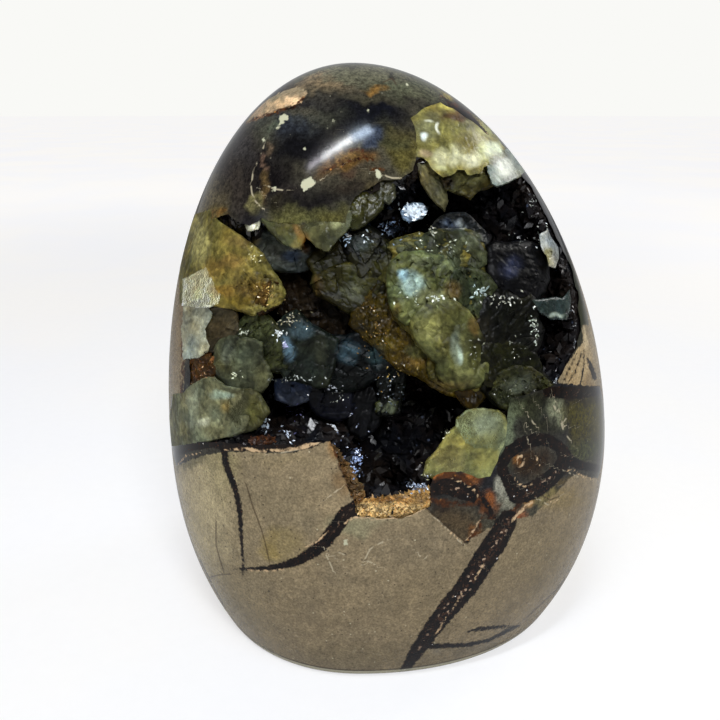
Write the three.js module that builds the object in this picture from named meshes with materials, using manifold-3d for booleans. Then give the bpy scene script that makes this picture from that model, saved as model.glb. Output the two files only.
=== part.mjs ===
// Polished septarian nodule: an egg of grey limestone, sawn flat to stand upright, with an
// open hollow in its front that is lined with one crust of calcite crystals.
// Millimetres. +Z is up, the hollow opens toward -Y, and the sawn base lies on Z = 0.
import * as THREE from "three";
import { mergeVertices } from "three/addons/utils/BufferGeometryUtils.js";
import Module from "manifold-3d";

// ---------------------------------------------------------------- driving dimensions
const HEIGHT = 110;
const LEFT_REACH = 40; // from the ridge line to the left outline, at its widest height
const RIGHT_REACH = 52;
const FRONT_REACH = 39;
const BACK_REACH = 37;
const RIDGE_LEAN = -1.3; // how far the ridge line has drifted to the left at the top
const LEAN_START = 38; // the height above which it drifts
const SECTION_POWER = 2.08; // a little squarer than an ellipse

const HOLLOW_DEPTH = 25; // below the polished face
const CRUST_THICKNESS = 3;
const SEAT_GAP = 0.3; // between the crust and the limestone that carries it

const RING_COUNT = 25;
const RING_POINTS = 56;
const RIM_POINTS = 40;

// A side of the egg: its reach, the height at which it is widest, how round the dome above
// is, and how far below the widest height the side would close if it weren't sawn off.
const LEFT = { reach: LEFT_REACH, widest: 37, dome: 2.1, foot: 57 };
const RIGHT = { reach: RIGHT_REACH, widest: 33, dome: 1.7, foot: 57 };
const FRONT = { reach: FRONT_REACH, widest: 30, dome: 1.7, foot: 60 };
const BACK = { reach: BACK_REACH, widest: 30, dome: 1.7, foot: 60 };
const FOOT_POWER = 2.2;

// Rim of the hollow as seen from the front, clockwise from its upper left: [x, z].
const RIM = [
  [-30, 80], [-22, 85], [-14, 85], [-8, 86], [-3, 90], [4, 93], [15, 92], [23, 89],
  [27, 83], [32, 74], [33, 65], [27, 59], [20, 59], [17, 56], [13, 53], [9, 47],
  [5, 41], [0, 38], [-6, 38], [-10, 45], [-13, 49], [-22, 46], [-33, 46], [-37, 52],
  [-37, 61], [-36, 71], [-31, 75],
];
const RIM_CENTRE = new THREE.Vector2(-3, 67);

// From the rim inward: the share of the rim's radius and the share of the full depth.
const HOLLOW_STEPS = [
  [1.0, 0.0], [0.97, 0.34], [0.92, 0.56], [0.8, 0.78], [0.6, 0.92], [0.34, 0.98], [0, 1],
];
const LID_HEIGHT = 4; // the cutting solid closes this far in front of the polished face
const LID_STEPS = [1.02, 0.75, 0.5, 0.25];
const KNOB_SHARE = 0.04; // of the radius: how far the knobs of the wall stand in
const KNOB_TURN = 5; // radians of the knobs' wave from one rim point to the next
const KNOB_TWIST = 9; // and from the rim to the middle

// ---------------------------------------------------------------- materials
const LIMESTONE = new THREE.MeshStandardMaterial({
  color: 0x857b6c,
  roughness: 0.28,
  metalness: 0,
});
const CALCITE = new THREE.MeshStandardMaterial({
  color: 0x5d6652,
  roughness: 0.2,
  metalness: 0,
});

// ---------------------------------------------------------------- the egg
// How far one side reaches from the ridge line at height z.
function sideReach(side, z) {
  if (z >= side.widest) {
    const rise = Math.min((z - side.widest) / (HEIGHT - side.widest), 1);
    return side.reach * Math.sqrt(1 - rise ** side.dome);
  }
  const drop = (side.widest - z) / side.foot;
  return side.reach * Math.sqrt(1 - drop ** FOOT_POWER);
}

// The ridge line runs up the middle of the egg. It stands where the four sides' extremes
// lie evenly about the origin.
const RIDGE_X = (LEFT_REACH - RIGHT_REACH) / 2;
const RIDGE_Y = (FRONT_REACH - BACK_REACH) / 2;

function ridgeX(z) {
  const rise = Math.max(z - LEAN_START, 0) / (HEIGHT - LEAN_START);
  return RIDGE_X + RIDGE_LEAN * rise ** 2;
}

// Y of the polished front face at a point seen from the front.
function frontFace(x, z) {
  const across = x - ridgeX(z);
  const reach = sideReach(across > 0 ? RIGHT : LEFT, z);
  const share = Math.min(Math.abs(across) / reach, 1);
  return RIDGE_Y - sideReach(FRONT, z) * (1 - share ** SECTION_POWER) ** (1 / SECTION_POWER);
}

function eggPoint(turn, z) {
  const c = Math.cos(turn);
  const s = Math.sin(turn);
  const across = Math.sign(c) * Math.abs(c) ** (2 / SECTION_POWER);
  const along = Math.sign(s) * Math.abs(s) ** (2 / SECTION_POWER);
  return new THREE.Vector3(
    ridgeX(z) + across * sideReach(c > 0 ? RIGHT : LEFT, z),
    RIDGE_Y + along * sideReach(s > 0 ? BACK : FRONT, z),
    z,
  );
}

// A closed skin over rings of points, all with the same count, with a point at each end.
function skinOfRings(rings, firstTip, lastTip) {
  const count = rings[0].length;
  const points = [...rings.flat(), firstTip, lastTip];
  const first = points.length - 2;
  const last = points.length - 1;
  const faces = [];
  for (let i = 0; i < count; i++) {
    const next = (i + 1) % count;
    faces.push(first, next, i);
    for (let r = 0; r + 1 < rings.length; r++) {
      const low = r * count;
      const high = low + count;
      faces.push(low + i, low + next, high + next);
      faces.push(low + i, high + next, high + i);
    }
    const top = (rings.length - 1) * count;
    faces.push(last, top + i, top + next);
  }
  const skin = new THREE.BufferGeometry().setFromPoints(points);
  skin.setIndex(faces);
  return skin;
}

function eggGeometry() {
  const rings = [];
  for (let r = 0; r < RING_COUNT; r++) {
    // Sine steps crowd the rings toward the top, where the dome curves in.
    const z = HEIGHT * Math.sin((r / RING_COUNT) * (Math.PI / 2));
    const ring = [];
    for (let i = 0; i < RING_POINTS; i++) {
      ring.push(eggPoint((i / RING_POINTS) * 2 * Math.PI, z));
    }
    rings.push(ring);
  }
  const baseMiddle = new THREE.Vector3(RIDGE_X, RIDGE_Y, 0);
  return skinOfRings(rings, baseMiddle, new THREE.Vector3(ridgeX(HEIGHT), RIDGE_Y, HEIGHT));
}

// ---------------------------------------------------------------- the hollow
// The share of the full depth that the wall has reached at a share of the rim's radius.
function depthShare(share) {
  const inner = HOLLOW_STEPS.findIndex(([radius]) => radius <= share);
  const [outerRadius, outerDepth] = HOLLOW_STEPS[inner - 1];
  const [innerRadius, innerDepth] = HOLLOW_STEPS[inner];
  const along = (outerRadius - share) / (outerRadius - innerRadius);
  return outerDepth + along * (innerDepth - outerDepth);
}

// Evenly spread points of the rim, clockwise as seen from the front.
function rimPoints() {
  const corners = RIM.map(([x, z]) => new THREE.Vector3(x, 0, z));
  const curve = new THREE.CatmullRomCurve3(corners, true, "centripetal");
  return curve.getSpacedPoints(RIM_POINTS).slice(0, RIM_POINTS);
}

// The hollow grown smaller by `inset` all round and reaching in front of the polished face,
// so that it cuts the stone clean through. Its wall is knobbly, not smooth.
function hollowGeometry(inset) {
  const rim = rimPoints();
  const ringAt = (share, sink) =>
    rim.map((p, i) => {
      const out = new THREE.Vector2(p.x, p.z).sub(RIM_CENTRE);
      const radius = out.length();
      const wave = 1 + Math.sin(KNOB_TURN * i + KNOB_TWIST * share);
      const knob = sink > 0 ? 1 - KNOB_SHARE * wave : 1;
      const size = radius * share * knob - inset;
      out.setLength(size).add(RIM_CENTRE);
      return new THREE.Vector3(out.x, frontFace(out.x, out.y) + sink, out.y);
    });
  const deepest = HOLLOW_DEPTH - inset;
  const lid = [...LID_STEPS].reverse().map((share) => ringAt(share, -LID_HEIGHT));
  const wall = HOLLOW_STEPS.slice(0, -1).map(([share, depth]) => ringAt(share, depth * deepest));
  const tip = (sink) => {
    const y = frontFace(RIM_CENTRE.x, RIM_CENTRE.y) + sink;
    return new THREE.Vector3(RIM_CENTRE.x, y, RIM_CENTRE.y);
  };
  return skinOfRings([...lid, ...wall], tip(-LID_HEIGHT), tip(deepest));
}

// ---------------------------------------------------------------- crystals
// A repeatable stream of numbers between 0 and 1 (a linear congruential generator), so that
// every build grows the same crust.
const STREAM_MODULUS = 2 ** 31 - 1;
const STREAM_FACTOR = 48271;
const STREAM_WARM_UP = 5;

function numberStream(seed) {
  let state = seed * STREAM_FACTOR + 1;
  const next = () => {
    state = (state * STREAM_FACTOR) % STREAM_MODULUS;
    return state / STREAM_MODULUS;
  };
  for (let i = 0; i < STREAM_WARM_UP; i++) {
    next();
  }
  return next;
}

// Rounded masses of grown-together calcite: where the middle of the mass's face is seen from
// the front, how far that face lies behind the polished face, and the half sizes x, y, z.
const MASSES = [
  { name: "big green", at: [8, 69], sink: 0, half: [12, 11, 15] },
  { name: "amber flank", at: [-2, 65], sink: 3, half: [8, 9, 10] },
  { name: "middle green", at: [-11, 76], sink: 5, half: [9, 9, 7] },
  { name: "blue left", at: [-18, 61], sink: 3, half: [8.5, 9, 6.5] },
  { name: "blue middle", at: [-7, 60], sink: 5, half: [7, 9, 5] },
  { name: "block left", at: [-28, 60], sink: 1, half: [6, 8, 6] },
  { name: "pillow left", at: [-31, 51], sink: 0.5, half: [8, 8, 6] },
  { name: "honey left", at: [-31, 75], sink: 0, half: [8, 8, 8] },
  { name: "pale left", at: [-36, 65], sink: 0.5, half: [4, 6, 6] },
  { name: "dark right", at: [24, 72], sink: 3, half: [6.5, 9, 6] },
  { name: "ledge top right", at: [15, 92], sink: 1, half: [11, 9, 4] },
  { name: "ledge top left", at: [-14, 86], sink: 1, half: [11, 9, 5] },
  { name: "pale foot", at: [14, 49], sink: 0, half: [6, 8, 6] },
  { name: "right wall", at: [32, 66], sink: 2, half: [6, 9, 7] },
];

const WIDE_MASS = 10; // a mass wider than this, from its middle, gets smaller facets
const ROUGHNESS = 0.1; // how far a corner lies in or out of the smooth form, as a share

function massCentre(mass) {
  const [x, z] = mass.at;
  return new THREE.Vector3(x, frontFace(x, z) + mass.sink + mass.half[1], z);
}

function massGeometry(mass, index) {
  const detail = mass.half[0] > WIDE_MASS ? 2 : 1;
  const ball = closedGeometry(new THREE.IcosahedronGeometry(1, detail));
  const random = numberStream(index + 1);
  const corners = ball.getAttribute("position");
  const half = new THREE.Vector3(...mass.half);
  const corner = new THREE.Vector3();
  for (let i = 0; i < corners.count; i++) {
    corner.fromBufferAttribute(corners, i);
    corner.multiplyScalar(1 + ROUGHNESS * (2 * random() - 1)).multiply(half);
    corners.setXYZ(i, corner.x, corner.y, corner.z);
  }
  const centre = massCentre(mass);
  return ball.translate(centre.x, centre.y, centre.z);
}

// A calcite rhomb: a cube leaned over along its body diagonal, set down at any turn.
const RHOMB_LEAN = 0.35;
const RHOMB_STRETCH = 1.25;
const LEANED = new THREE.Matrix4().set(
  ...[1, RHOMB_LEAN, RHOMB_LEAN, 0],
  ...[RHOMB_LEAN, 1, RHOMB_LEAN, 0],
  ...[RHOMB_LEAN, RHOMB_LEAN, 1, 0],
  ...[0, 0, 0, 1],
);

function rhombGeometry(centre, size, random) {
  const rhomb = closedGeometry(new THREE.BoxGeometry(size, size, size * RHOMB_STRETCH));
  rhomb.applyMatrix4(LEANED);
  const full = 2 * Math.PI;
  const turn = new THREE.Euler(random() * full, random() * full, random() * full);
  rhomb.applyQuaternion(new THREE.Quaternion().setFromEuler(turn));
  rhomb.translate(centre.x, centre.y, centre.z);
  return rhomb;
}

// Rhombs that stand out of the viewer's side of a mass.
const RHOMBS_PER_MASS = 4;
const RHOMB_SIZE = { least: 2.4, more: 2.2 };
const RHOMB_TILT = { least: 0.35, more: 0.9 }; // radians off the line of view
const RHOMB_ROOT = 0.92; // a rhomb's middle lies at this share of the mass's half size
const MASS_SEEDS = 100;

function rhombsOnMass(mass, index) {
  const random = numberStream(MASS_SEEDS + index);
  const middle = massCentre(mass);
  const half = new THREE.Vector3(...mass.half).multiplyScalar(RHOMB_ROOT);
  const rhombs = [];
  for (let i = 0; i < RHOMBS_PER_MASS; i++) {
    const turn = (i / RHOMBS_PER_MASS) * 2 * Math.PI + random();
    const tilt = RHOMB_TILT.least + RHOMB_TILT.more * random();
    const out = new THREE.Vector3(
      Math.sin(tilt) * Math.cos(turn),
      -Math.cos(tilt),
      Math.sin(tilt) * Math.sin(turn),
    );
    const size = RHOMB_SIZE.least + RHOMB_SIZE.more * random();
    rhombs.push(rhombGeometry(out.multiply(half).add(middle), size, random));
  }
  return rhombs;
}

// Single blades and teeth that hang or stand at the rim of the dark pockets:
// foot and tip as [x, how far behind the polished face, z], and the width at the foot.
const TEETH = [
  { foot: [-19, 4, 85], tip: [-17, 3, 77], width: 6 },
  { foot: [-11, 4, 85], tip: [-10, 3, 77.5], width: 6.5 },
  { foot: [-6, 5, 88], tip: [-6, 4, 81.5], width: 5 },
  { foot: [6, 5, 93], tip: [8, 7, 83], width: 3.5 },
  { foot: [15, 5, 92], tip: [14, 4, 87], width: 6 },
  { foot: [22, 4, 89], tip: [22, 3, 85], width: 5 },
  { foot: [12, 2, 44], tip: [3, 3, 43], width: 5 },
  { foot: [-1, 9, 60], tip: [-1, 6, 54], width: 5 },
  { foot: [30, 5, 78], tip: [29, 2, 74], width: 3.5 },
  { foot: [26, 6, 64], tip: [30, 3, 67], width: 4 },
];
const TOOTH_SIDES = 6;

function toothGeometry({ foot, tip, width }) {
  const place = ([x, sink, z]) => new THREE.Vector3(x, frontFace(x, z) + sink, z);
  const from = place(foot);
  const along = place(tip).sub(from);
  const length = along.length();
  const tooth = closedGeometry(new THREE.ConeGeometry(width / 2, length, TOOTH_SIDES));
  tooth.translate(0, length / 2, 0);
  const up = new THREE.Vector3(0, 1, 0);
  tooth.applyQuaternion(new THREE.Quaternion().setFromUnitVectors(up, along.normalize()));
  tooth.translate(from.x, from.y, from.z);
  return tooth;
}

// Small crystals over the floor of the hollow, in even turns about its middle.
const DRUSE_RINGS = [
  { share: 0.84, count: 16 },
  { share: 0.62, count: 12 },
  { share: 0.3, count: 5 },
];

const DRUSE_SEED = 7;
const DRUSE_SIZE = { least: 2.2, more: 1.6 };
const DRUSE_STRAY = 0.6; // of the spacing: how far a crystal strays from its even place

function druseGeometries() {
  const random = numberStream(DRUSE_SEED);
  const rim = rimPoints();
  const grown = [];
  for (const { share, count } of DRUSE_RINGS) {
    for (let i = 0; i < count; i++) {
      const place = (i + DRUSE_STRAY * random()) / count;
      const p = rim[Math.floor(place * RIM_POINTS) % RIM_POINTS];
      const out = new THREE.Vector2(p.x, p.z).sub(RIM_CENTRE).multiplyScalar(share);
      out.add(RIM_CENTRE);
      const sink = depthShare(share) * HOLLOW_DEPTH - CRUST_THICKNESS;
      const centre = new THREE.Vector3(out.x, frontFace(out.x, out.y) + sink, out.y);
      const size = DRUSE_SIZE.least + DRUSE_SIZE.more * random();
      grown.push(rhombGeometry(centre, size, random));
    }
  }
  return grown;
}

// ---------------------------------------------------------------- solids
const MERGE_DISTANCE = 1e-4;
const wasm = await Module();
wasm.setup();

// A geometry with each corner stored once, as the solid modeller wants it.
function closedGeometry(geometry) {
  const bare = geometry.clone();
  bare.deleteAttribute("normal");
  bare.deleteAttribute("uv");
  return mergeVertices(bare, MERGE_DISTANCE);
}

function solidOf(geometry) {
  const closed = closedGeometry(geometry);
  return new wasm.Manifold(
    new wasm.Mesh({
      numProp: 3,
      vertProperties: new Float32Array(closed.getAttribute("position").array),
      triVerts: new Uint32Array(closed.index.array),
    }),
  );
}

// The largest connected body, because a cut can leave loose crumbs of crystal.
function mainBody(solid) {
  const bodies = solid.decompose();
  return bodies.reduce((best, body) => (body.volume() > best.volume() ? body : best));
}

function geometryOf(solid) {
  const mesh = solid.getMesh();
  const geometry = new THREE.BufferGeometry();
  geometry.setAttribute("position", new THREE.BufferAttribute(mesh.vertProperties, 3));
  geometry.setIndex(new THREE.BufferAttribute(mesh.triVerts, 1));
  const flat = geometry.toNonIndexed();
  flat.computeVertexNormals();
  return flat;
}

const egg = solidOf(eggGeometry());
const nodule = mainBody(egg.subtract(solidOf(hollowGeometry(0))));

const crustBed = solidOf(hollowGeometry(SEAT_GAP)).intersect(egg);
const lining = crustBed.subtract(solidOf(hollowGeometry(SEAT_GAP + CRUST_THICKNESS)));
const crystals = [
  ...MASSES.map(massGeometry),
  ...MASSES.flatMap(rhombsOnMass),
  ...TEETH.map(toothGeometry),
  ...druseGeometries(),
];
const grownCrust = crystals.reduce((all, crystal) => all.add(solidOf(crystal)), lining);
const crust = mainBody(grownCrust.intersect(crustBed));

// ---------------------------------------------------------------- the part
function namedMesh(name, solid, material) {
  const mesh = new THREE.Mesh(geometryOf(solid), material);
  mesh.name = name;
  return mesh;
}

const part = new THREE.Group();
part.add(namedMesh("nodule", nodule, LIMESTONE));
part.add(namedMesh("calcite_crust", crust, CALCITE));

export default part;
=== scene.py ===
"""A polished septarian nodule: grey limestone with dark calcite veins, and an open
hollow that is lined with druse and grown over with green, honey and pale calcite.

Lengths inside the shape functions are millimetres on the stone. Outlines and marks are
drawn as (across, down) in the camera's own 720 x 720 frame, and are laid onto the stone
along the camera's rays.
"""
import math
from collections import namedtuple

import bmesh
import bpy
import numpy as np
from mathutils import Matrix, Vector, geometry


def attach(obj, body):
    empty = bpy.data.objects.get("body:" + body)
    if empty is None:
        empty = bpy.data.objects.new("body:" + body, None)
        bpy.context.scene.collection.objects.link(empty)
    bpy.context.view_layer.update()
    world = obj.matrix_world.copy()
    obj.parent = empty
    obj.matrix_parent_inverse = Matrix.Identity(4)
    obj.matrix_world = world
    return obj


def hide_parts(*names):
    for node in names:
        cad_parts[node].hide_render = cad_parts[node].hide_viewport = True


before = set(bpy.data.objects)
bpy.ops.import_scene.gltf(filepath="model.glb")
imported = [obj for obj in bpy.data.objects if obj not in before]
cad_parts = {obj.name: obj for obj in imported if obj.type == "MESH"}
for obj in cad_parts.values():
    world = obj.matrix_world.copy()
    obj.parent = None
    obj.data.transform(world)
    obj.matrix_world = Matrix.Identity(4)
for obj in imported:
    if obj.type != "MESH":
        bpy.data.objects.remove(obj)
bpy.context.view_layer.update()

bl_info = {
    "name": "Septarian nodule",
    "version": (1, 0, 0),
    "blender": (4, 5, 0),
    "location": "3D View > Sidebar > Septarian",
    "description": "Builds a polished septarian nodule with a crystal-lined hollow",
    "category": "Add Mesh",
}

MM = 0.001

# ---------------------------------------------------------------- the egg, in millimetres
HEIGHT = 110.0
RIDGE_X = -6.0
RIDGE_Y = 1.0
RIDGE_LEAN = -1.3
LEAN_START = 38.0
SECTION_POWER = 2.08
FOOT_POWER = 2.2
BASE_BEVEL = 0.9
SKIN = 0.001
OUTSIDE = 9.0

# side: reach from the ridge, widest height, roundness of the dome, depth of the foot
SIDES = {
    "left": (40.0, 37.0, 2.1, 57.0),
    "right": (52.0, 33.0, 1.7, 57.0),
    "front": (39.0, 30.0, 1.7, 60.0),
    "back": (37.0, 30.0, 1.7, 60.0),
}

# ---------------------------------------------------------------- the camera's frame
CAMERA_AT = np.array((-6.0, -142.94, 102.39))
CAMERA_PITCH = math.radians(19.4)
FRAME_SIZE = 720.0
FOCAL = 720.0
RIGHT = np.array((1.0, 0.0, 0.0))
LOOK = np.array((0.0, math.cos(CAMERA_PITCH), -math.sin(CAMERA_PITCH)))
UP = np.array((0.0, math.sin(CAMERA_PITCH), math.cos(CAMERA_PITCH)))

# ---------------------------------------------------------------- drawn outlines
def drawn(text):
    """Rows of numbers: "across,down" and, in some tables, more values."""
    return np.array([[float(part) for part in spot.split(",")] for spot in text.split()])


def outlines(*texts):
    return [drawn(text) for text in texts]


def strokes(*rows):
    """Lines with a width in mm, of which each of their points has a share."""
    return [(width, drawn(text)) for width, text in rows]


POCKET_RIM = drawn(
    "192,224 212,219 228,214 236,222 250,226 262,218 268,220 285,223 300,224 320,222 345,222"
    " 350,206 356,196 372,186 383,180 400,179 412,170 417,157 416,136 411,118 425,108 440,103"
    " 455,110 478,126 496,142 510,156 520,172 532,188 545,212 558,240 571,268 578,298 581,330"
    " 575,350 557,382 545,388 530,393 510,397 507,420 505,445 497,463 490,476 478,478 462,471"
    " 445,471 432,478 431,489 431,506 412,513 403,518 377,518 357,517 353,500 345,478 336,455"
    " 330,441 313,443 300,444 270,444 245,445 225,443 205,441 193,441 190,430 190,400 189,370"
    " 188,340 188,300 189,272 189,245")

LIMESTONE_ZONES = outlines(
    "120,480 172,468 190,460 206,455 221,453 246,451 275,454 293,453 313,447 331,439 338,455"
    " 346,478 356,497 357,517 377,518 403,518 412,513 424,507 445,526 463,541 478,534 490,528"
    " 507,522 520,518 533,516 545,503 556,493 568,480 577,473 592,478 680,478 680,760 120,760",
    "556,382 564,368 577,350 583,343 582,325 596,325 612,350 612,386 594,387",
    "150,262 187,262 186,330 183,396 150,396",
    "240,124 262,102 285,90 300,87 308,93 300,103 285,108 268,114 255,121",
)

PALE_CHIPS = outlines(
    "279,117 284,114 288,115 289,119 284,121 285,125 280,123",
    "300,185 304,179 311,177 316,181 313,187 304,191",
    "275,127 280,125 280,127 276,130", "375,169 381,171 382,177 377,179",
    "333,119 335,120 334,122 332,121", "327,126 330,126 329,128 327,128",
    "367,110 369,110 369,112 367,112", "341,111 342,111 342,113 341,113",
    "302,148 306,147 306,149 303,150", "272,188 276,187 275,191 271,190",
    "262,139 264,138 265,141 263,142", "406,84 407,83 408,85 407,86",
    "344,540 347,540 348,543 346,546 343,545 342,542",
)

# The dark veins, the brown seams and the fine cracks of the polished face.
VEINS = strokes(
    (3.9, "508,519,.85 499,537,1 484,560,1.05 466,588,1 446,611,.9 430,632,.8 414,655,.62"
          " 404,671,.4 398,684,.2"),
    (0.9, "428,646,1.3 441,646,1 466,645,.9 487,641,.7 505,632,.8 520,625,.4"),
    (0.7, "466,632,.3 479,629,1 500,627,1 517,626,.5"),
    (2.4, "378,508,.5 366,506,.9 356,507,1 346,513,1 337,526,1 325,542,.95 313,552,.85"
          " 298,561,.7 282,566,.5 267,568,.36 246,569,.22 234,569,.12"),
    (1.15, "222,440,1.2 227,468,1 235,488,.9 240,510,.8 241,534,.6 243,562,.35 243,575,.3"),
    (2.1, "502,464,.9 508,453,1 520,445,1.1 535,440,1.1 547,440,1 558,446,1 566,456,1.2"
          " 561,468,1.3 549,480,1.4 537,488,1.5 525,494,1.5 515,496,1.2 510,484,1 503,472,.9"
          " 502,464,.9"),
    (1.8, "562,458,1 580,465,1 604,470,.8"),
    (2.7, "434,490,.7 446,486,1 458,489,1.15 468,494,.9 474,500,.4"),
    (0.8, "474,486,.6 482,496,1 490,510,1 498,520,.8"),
    (0.35, "427,508,.8 438,518,1 448,527,.8"), (0.35, "562,383,.6 570,368,1 578,352,.6"),
    (0.3, "566,386,.6 576,370,1 582,352,.6"), (0.3, "580,386,.8 584,368,1 584,350,.5"),
    (2.2, "548,392,.8 565,393,1 585,392,1 606,390,.8"),
    (0.8, "587,358,.5 591,366,1 595,378,1"),
    (1.7, "170,455,.6 190,448,.8 210,444,.8 235,447,.8 262,448,.9 285,447,.9 310,444,.7"
          " 328,438,.6"),
    (1.2, "449,105,.6 458,112,1.2 468,118,1.2 478,126,.7"),
)

BROWNS = strokes(
    (1.5, "434,484,1 448,477,1.3 462,480,1.4 474,492,1.2 484,505,1.2 492,517,.8"),
    (0.8, "428,500,.6 444,503,1.2 462,504,1 474,503,.8"),
    (0.5, "184,296,.6 183,330,1 183,365,1 181,396,1"),
    (0.5, "246,122,.8 268,114,1 295,106,1 304,97,.6"),
    (1.0, "250,446,.3 258,444,1 268,445,1 276,448,.4"),
    (1.1, "334,444,1 344,470,1 354,494,1 362,508,.8"),
    (0.8, "506,519,.8 515,508,1 528,496,1 545,487,1 558,477,.9 566,470,.7"),
    (0.6, "464,543,1 472,537,1 480,527,.7 482,520,.5"),
    (0.7, "441,96,.4 452,104,1 466,112,1 480,124,1 490,134,.4"),
    (0.5, "324,172,.4 334,167,1 344,160,.5"), (0.6, "340,166,.5 352,160,1 364,157,1 374,160,.5"),
    (0.4, "346,152,.5 356,150,1 364,151,.5"), (0.5, "368,168,.4 376,171,1 384,170,.5"),
)

HAIRLINES = outlines(
    "246,484 253,507 261,528 266,546 269,560", "216,522 216,545 220,560 224,572",
    "208,578 218,575 230,574", "425,508 440,521 452,531 464,541", "545,497 550,500 557,497",
    "574,566 566,578 556,590 540,605 524,620", "384,82 392,78 396,84", "200,560 210,580 226,610",
)

PALE_LINES = outlines(
    "326,549 340,553 352,558 361,564", "325,553 329,561 333,570", "366,558 369,550 376,545 385,541",
    "357,557 366,560 374,564", "275,454 290,451 305,448 318,443 326,439",
    "427,511 441,523 451,533 460,542", "562,470 572,474 580,478 592,480",
    "553,404 557,413 563,424 566,418", "556,402 559,410 560,418", "530,418 534,424",
    "526,432 528,440", "330,496 338,490", "420,556 424,560 427,556", "540,500 548,505 556,500",
    "560,420 564,432 570,440",
    "448,124 450,132 449,138", "264,146 261,153 258,160", "256,166 253,172 252,180",
    "251,186 252,194 256,202 262,208", "268,186 274,189 282,190", "306,186 314,184 320,180",
    "386,176 392,178 398,178",
)

# Thin pale rims along the edges of the limestone and of the seams.
PALE_RIMS = strokes(
    (0.55, "224,450,.4 246,449,1 262,451,.8 285,450,1 300,448,1.2 312,444,1.3 325,438,1"
           " 333,434,.8"),
    (0.4, "357,517,.8 372,519,1 395,518,1 410,515,1.2 424,508,1 430,502,.6"),
    (0.35, "427,513,.5 440,523,1 451,533,1 462,543,.8"),
    (0.4, "564,471,.6 574,470,1 583,477,1 594,479,.6"),
    (0.35, "517,458,1 521,455,1 524,459,1 523,465,1 519,467,1 517,462,.8"),
    (0.3, "531,450,.6 536,457,1 540,466,.5"), (0.35, "514,476,.5 518,484,1 527,487,1 535,482,.5"),
    (0.5, "511,522,.7 519,513,1 527,505,1.2 533,502,.8"),
    (0.3, "546,498,.6 552,503,1 559,499,.6"),
    (0.3, "246,570,.5 268,571,1 290,569,.7"), (0.3, "304,548,.5 318,541,1 330,530,.6"),
    (0.3, "344,524,.7 352,518,1 368,519,.6"), (0.3, "176,466,.5 186,456,1 200,453,.6"),
    (0.3, "485,562,.4 479,572,1 473,583,.4"), (0.25, "463,592,.5 456,604,1 451,612,.4"),
    (0.35, "446,617,.4 440,628,1 434,637,.4"),
    (0.4, "449,478,.5 462,482,1 474,490,1 480,500,.6"), (0.3, "466,540,.6 474,530,1 480,520,.6"),
)

BACK_CAP_HEIGHT = 92.0

# Middles of the limestone cells of the sides and back, in millimetres.
CELL_SEEDS = [
    (-34, 8, 18), (-22, 30, 44), (4, 38, 24), (34, 26, 34), (46, 4, 12), (38, 14, 62),
    (10, 34, 68), (-20, 26, 78), (-40, 6, 58), (22, 20, 92), (-2, 20, 4), (16, -10, 0),
    (-22, -8, 2), (30, -24, 22), (-24, -28, 24), (-10, 36, 98),
]

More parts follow.
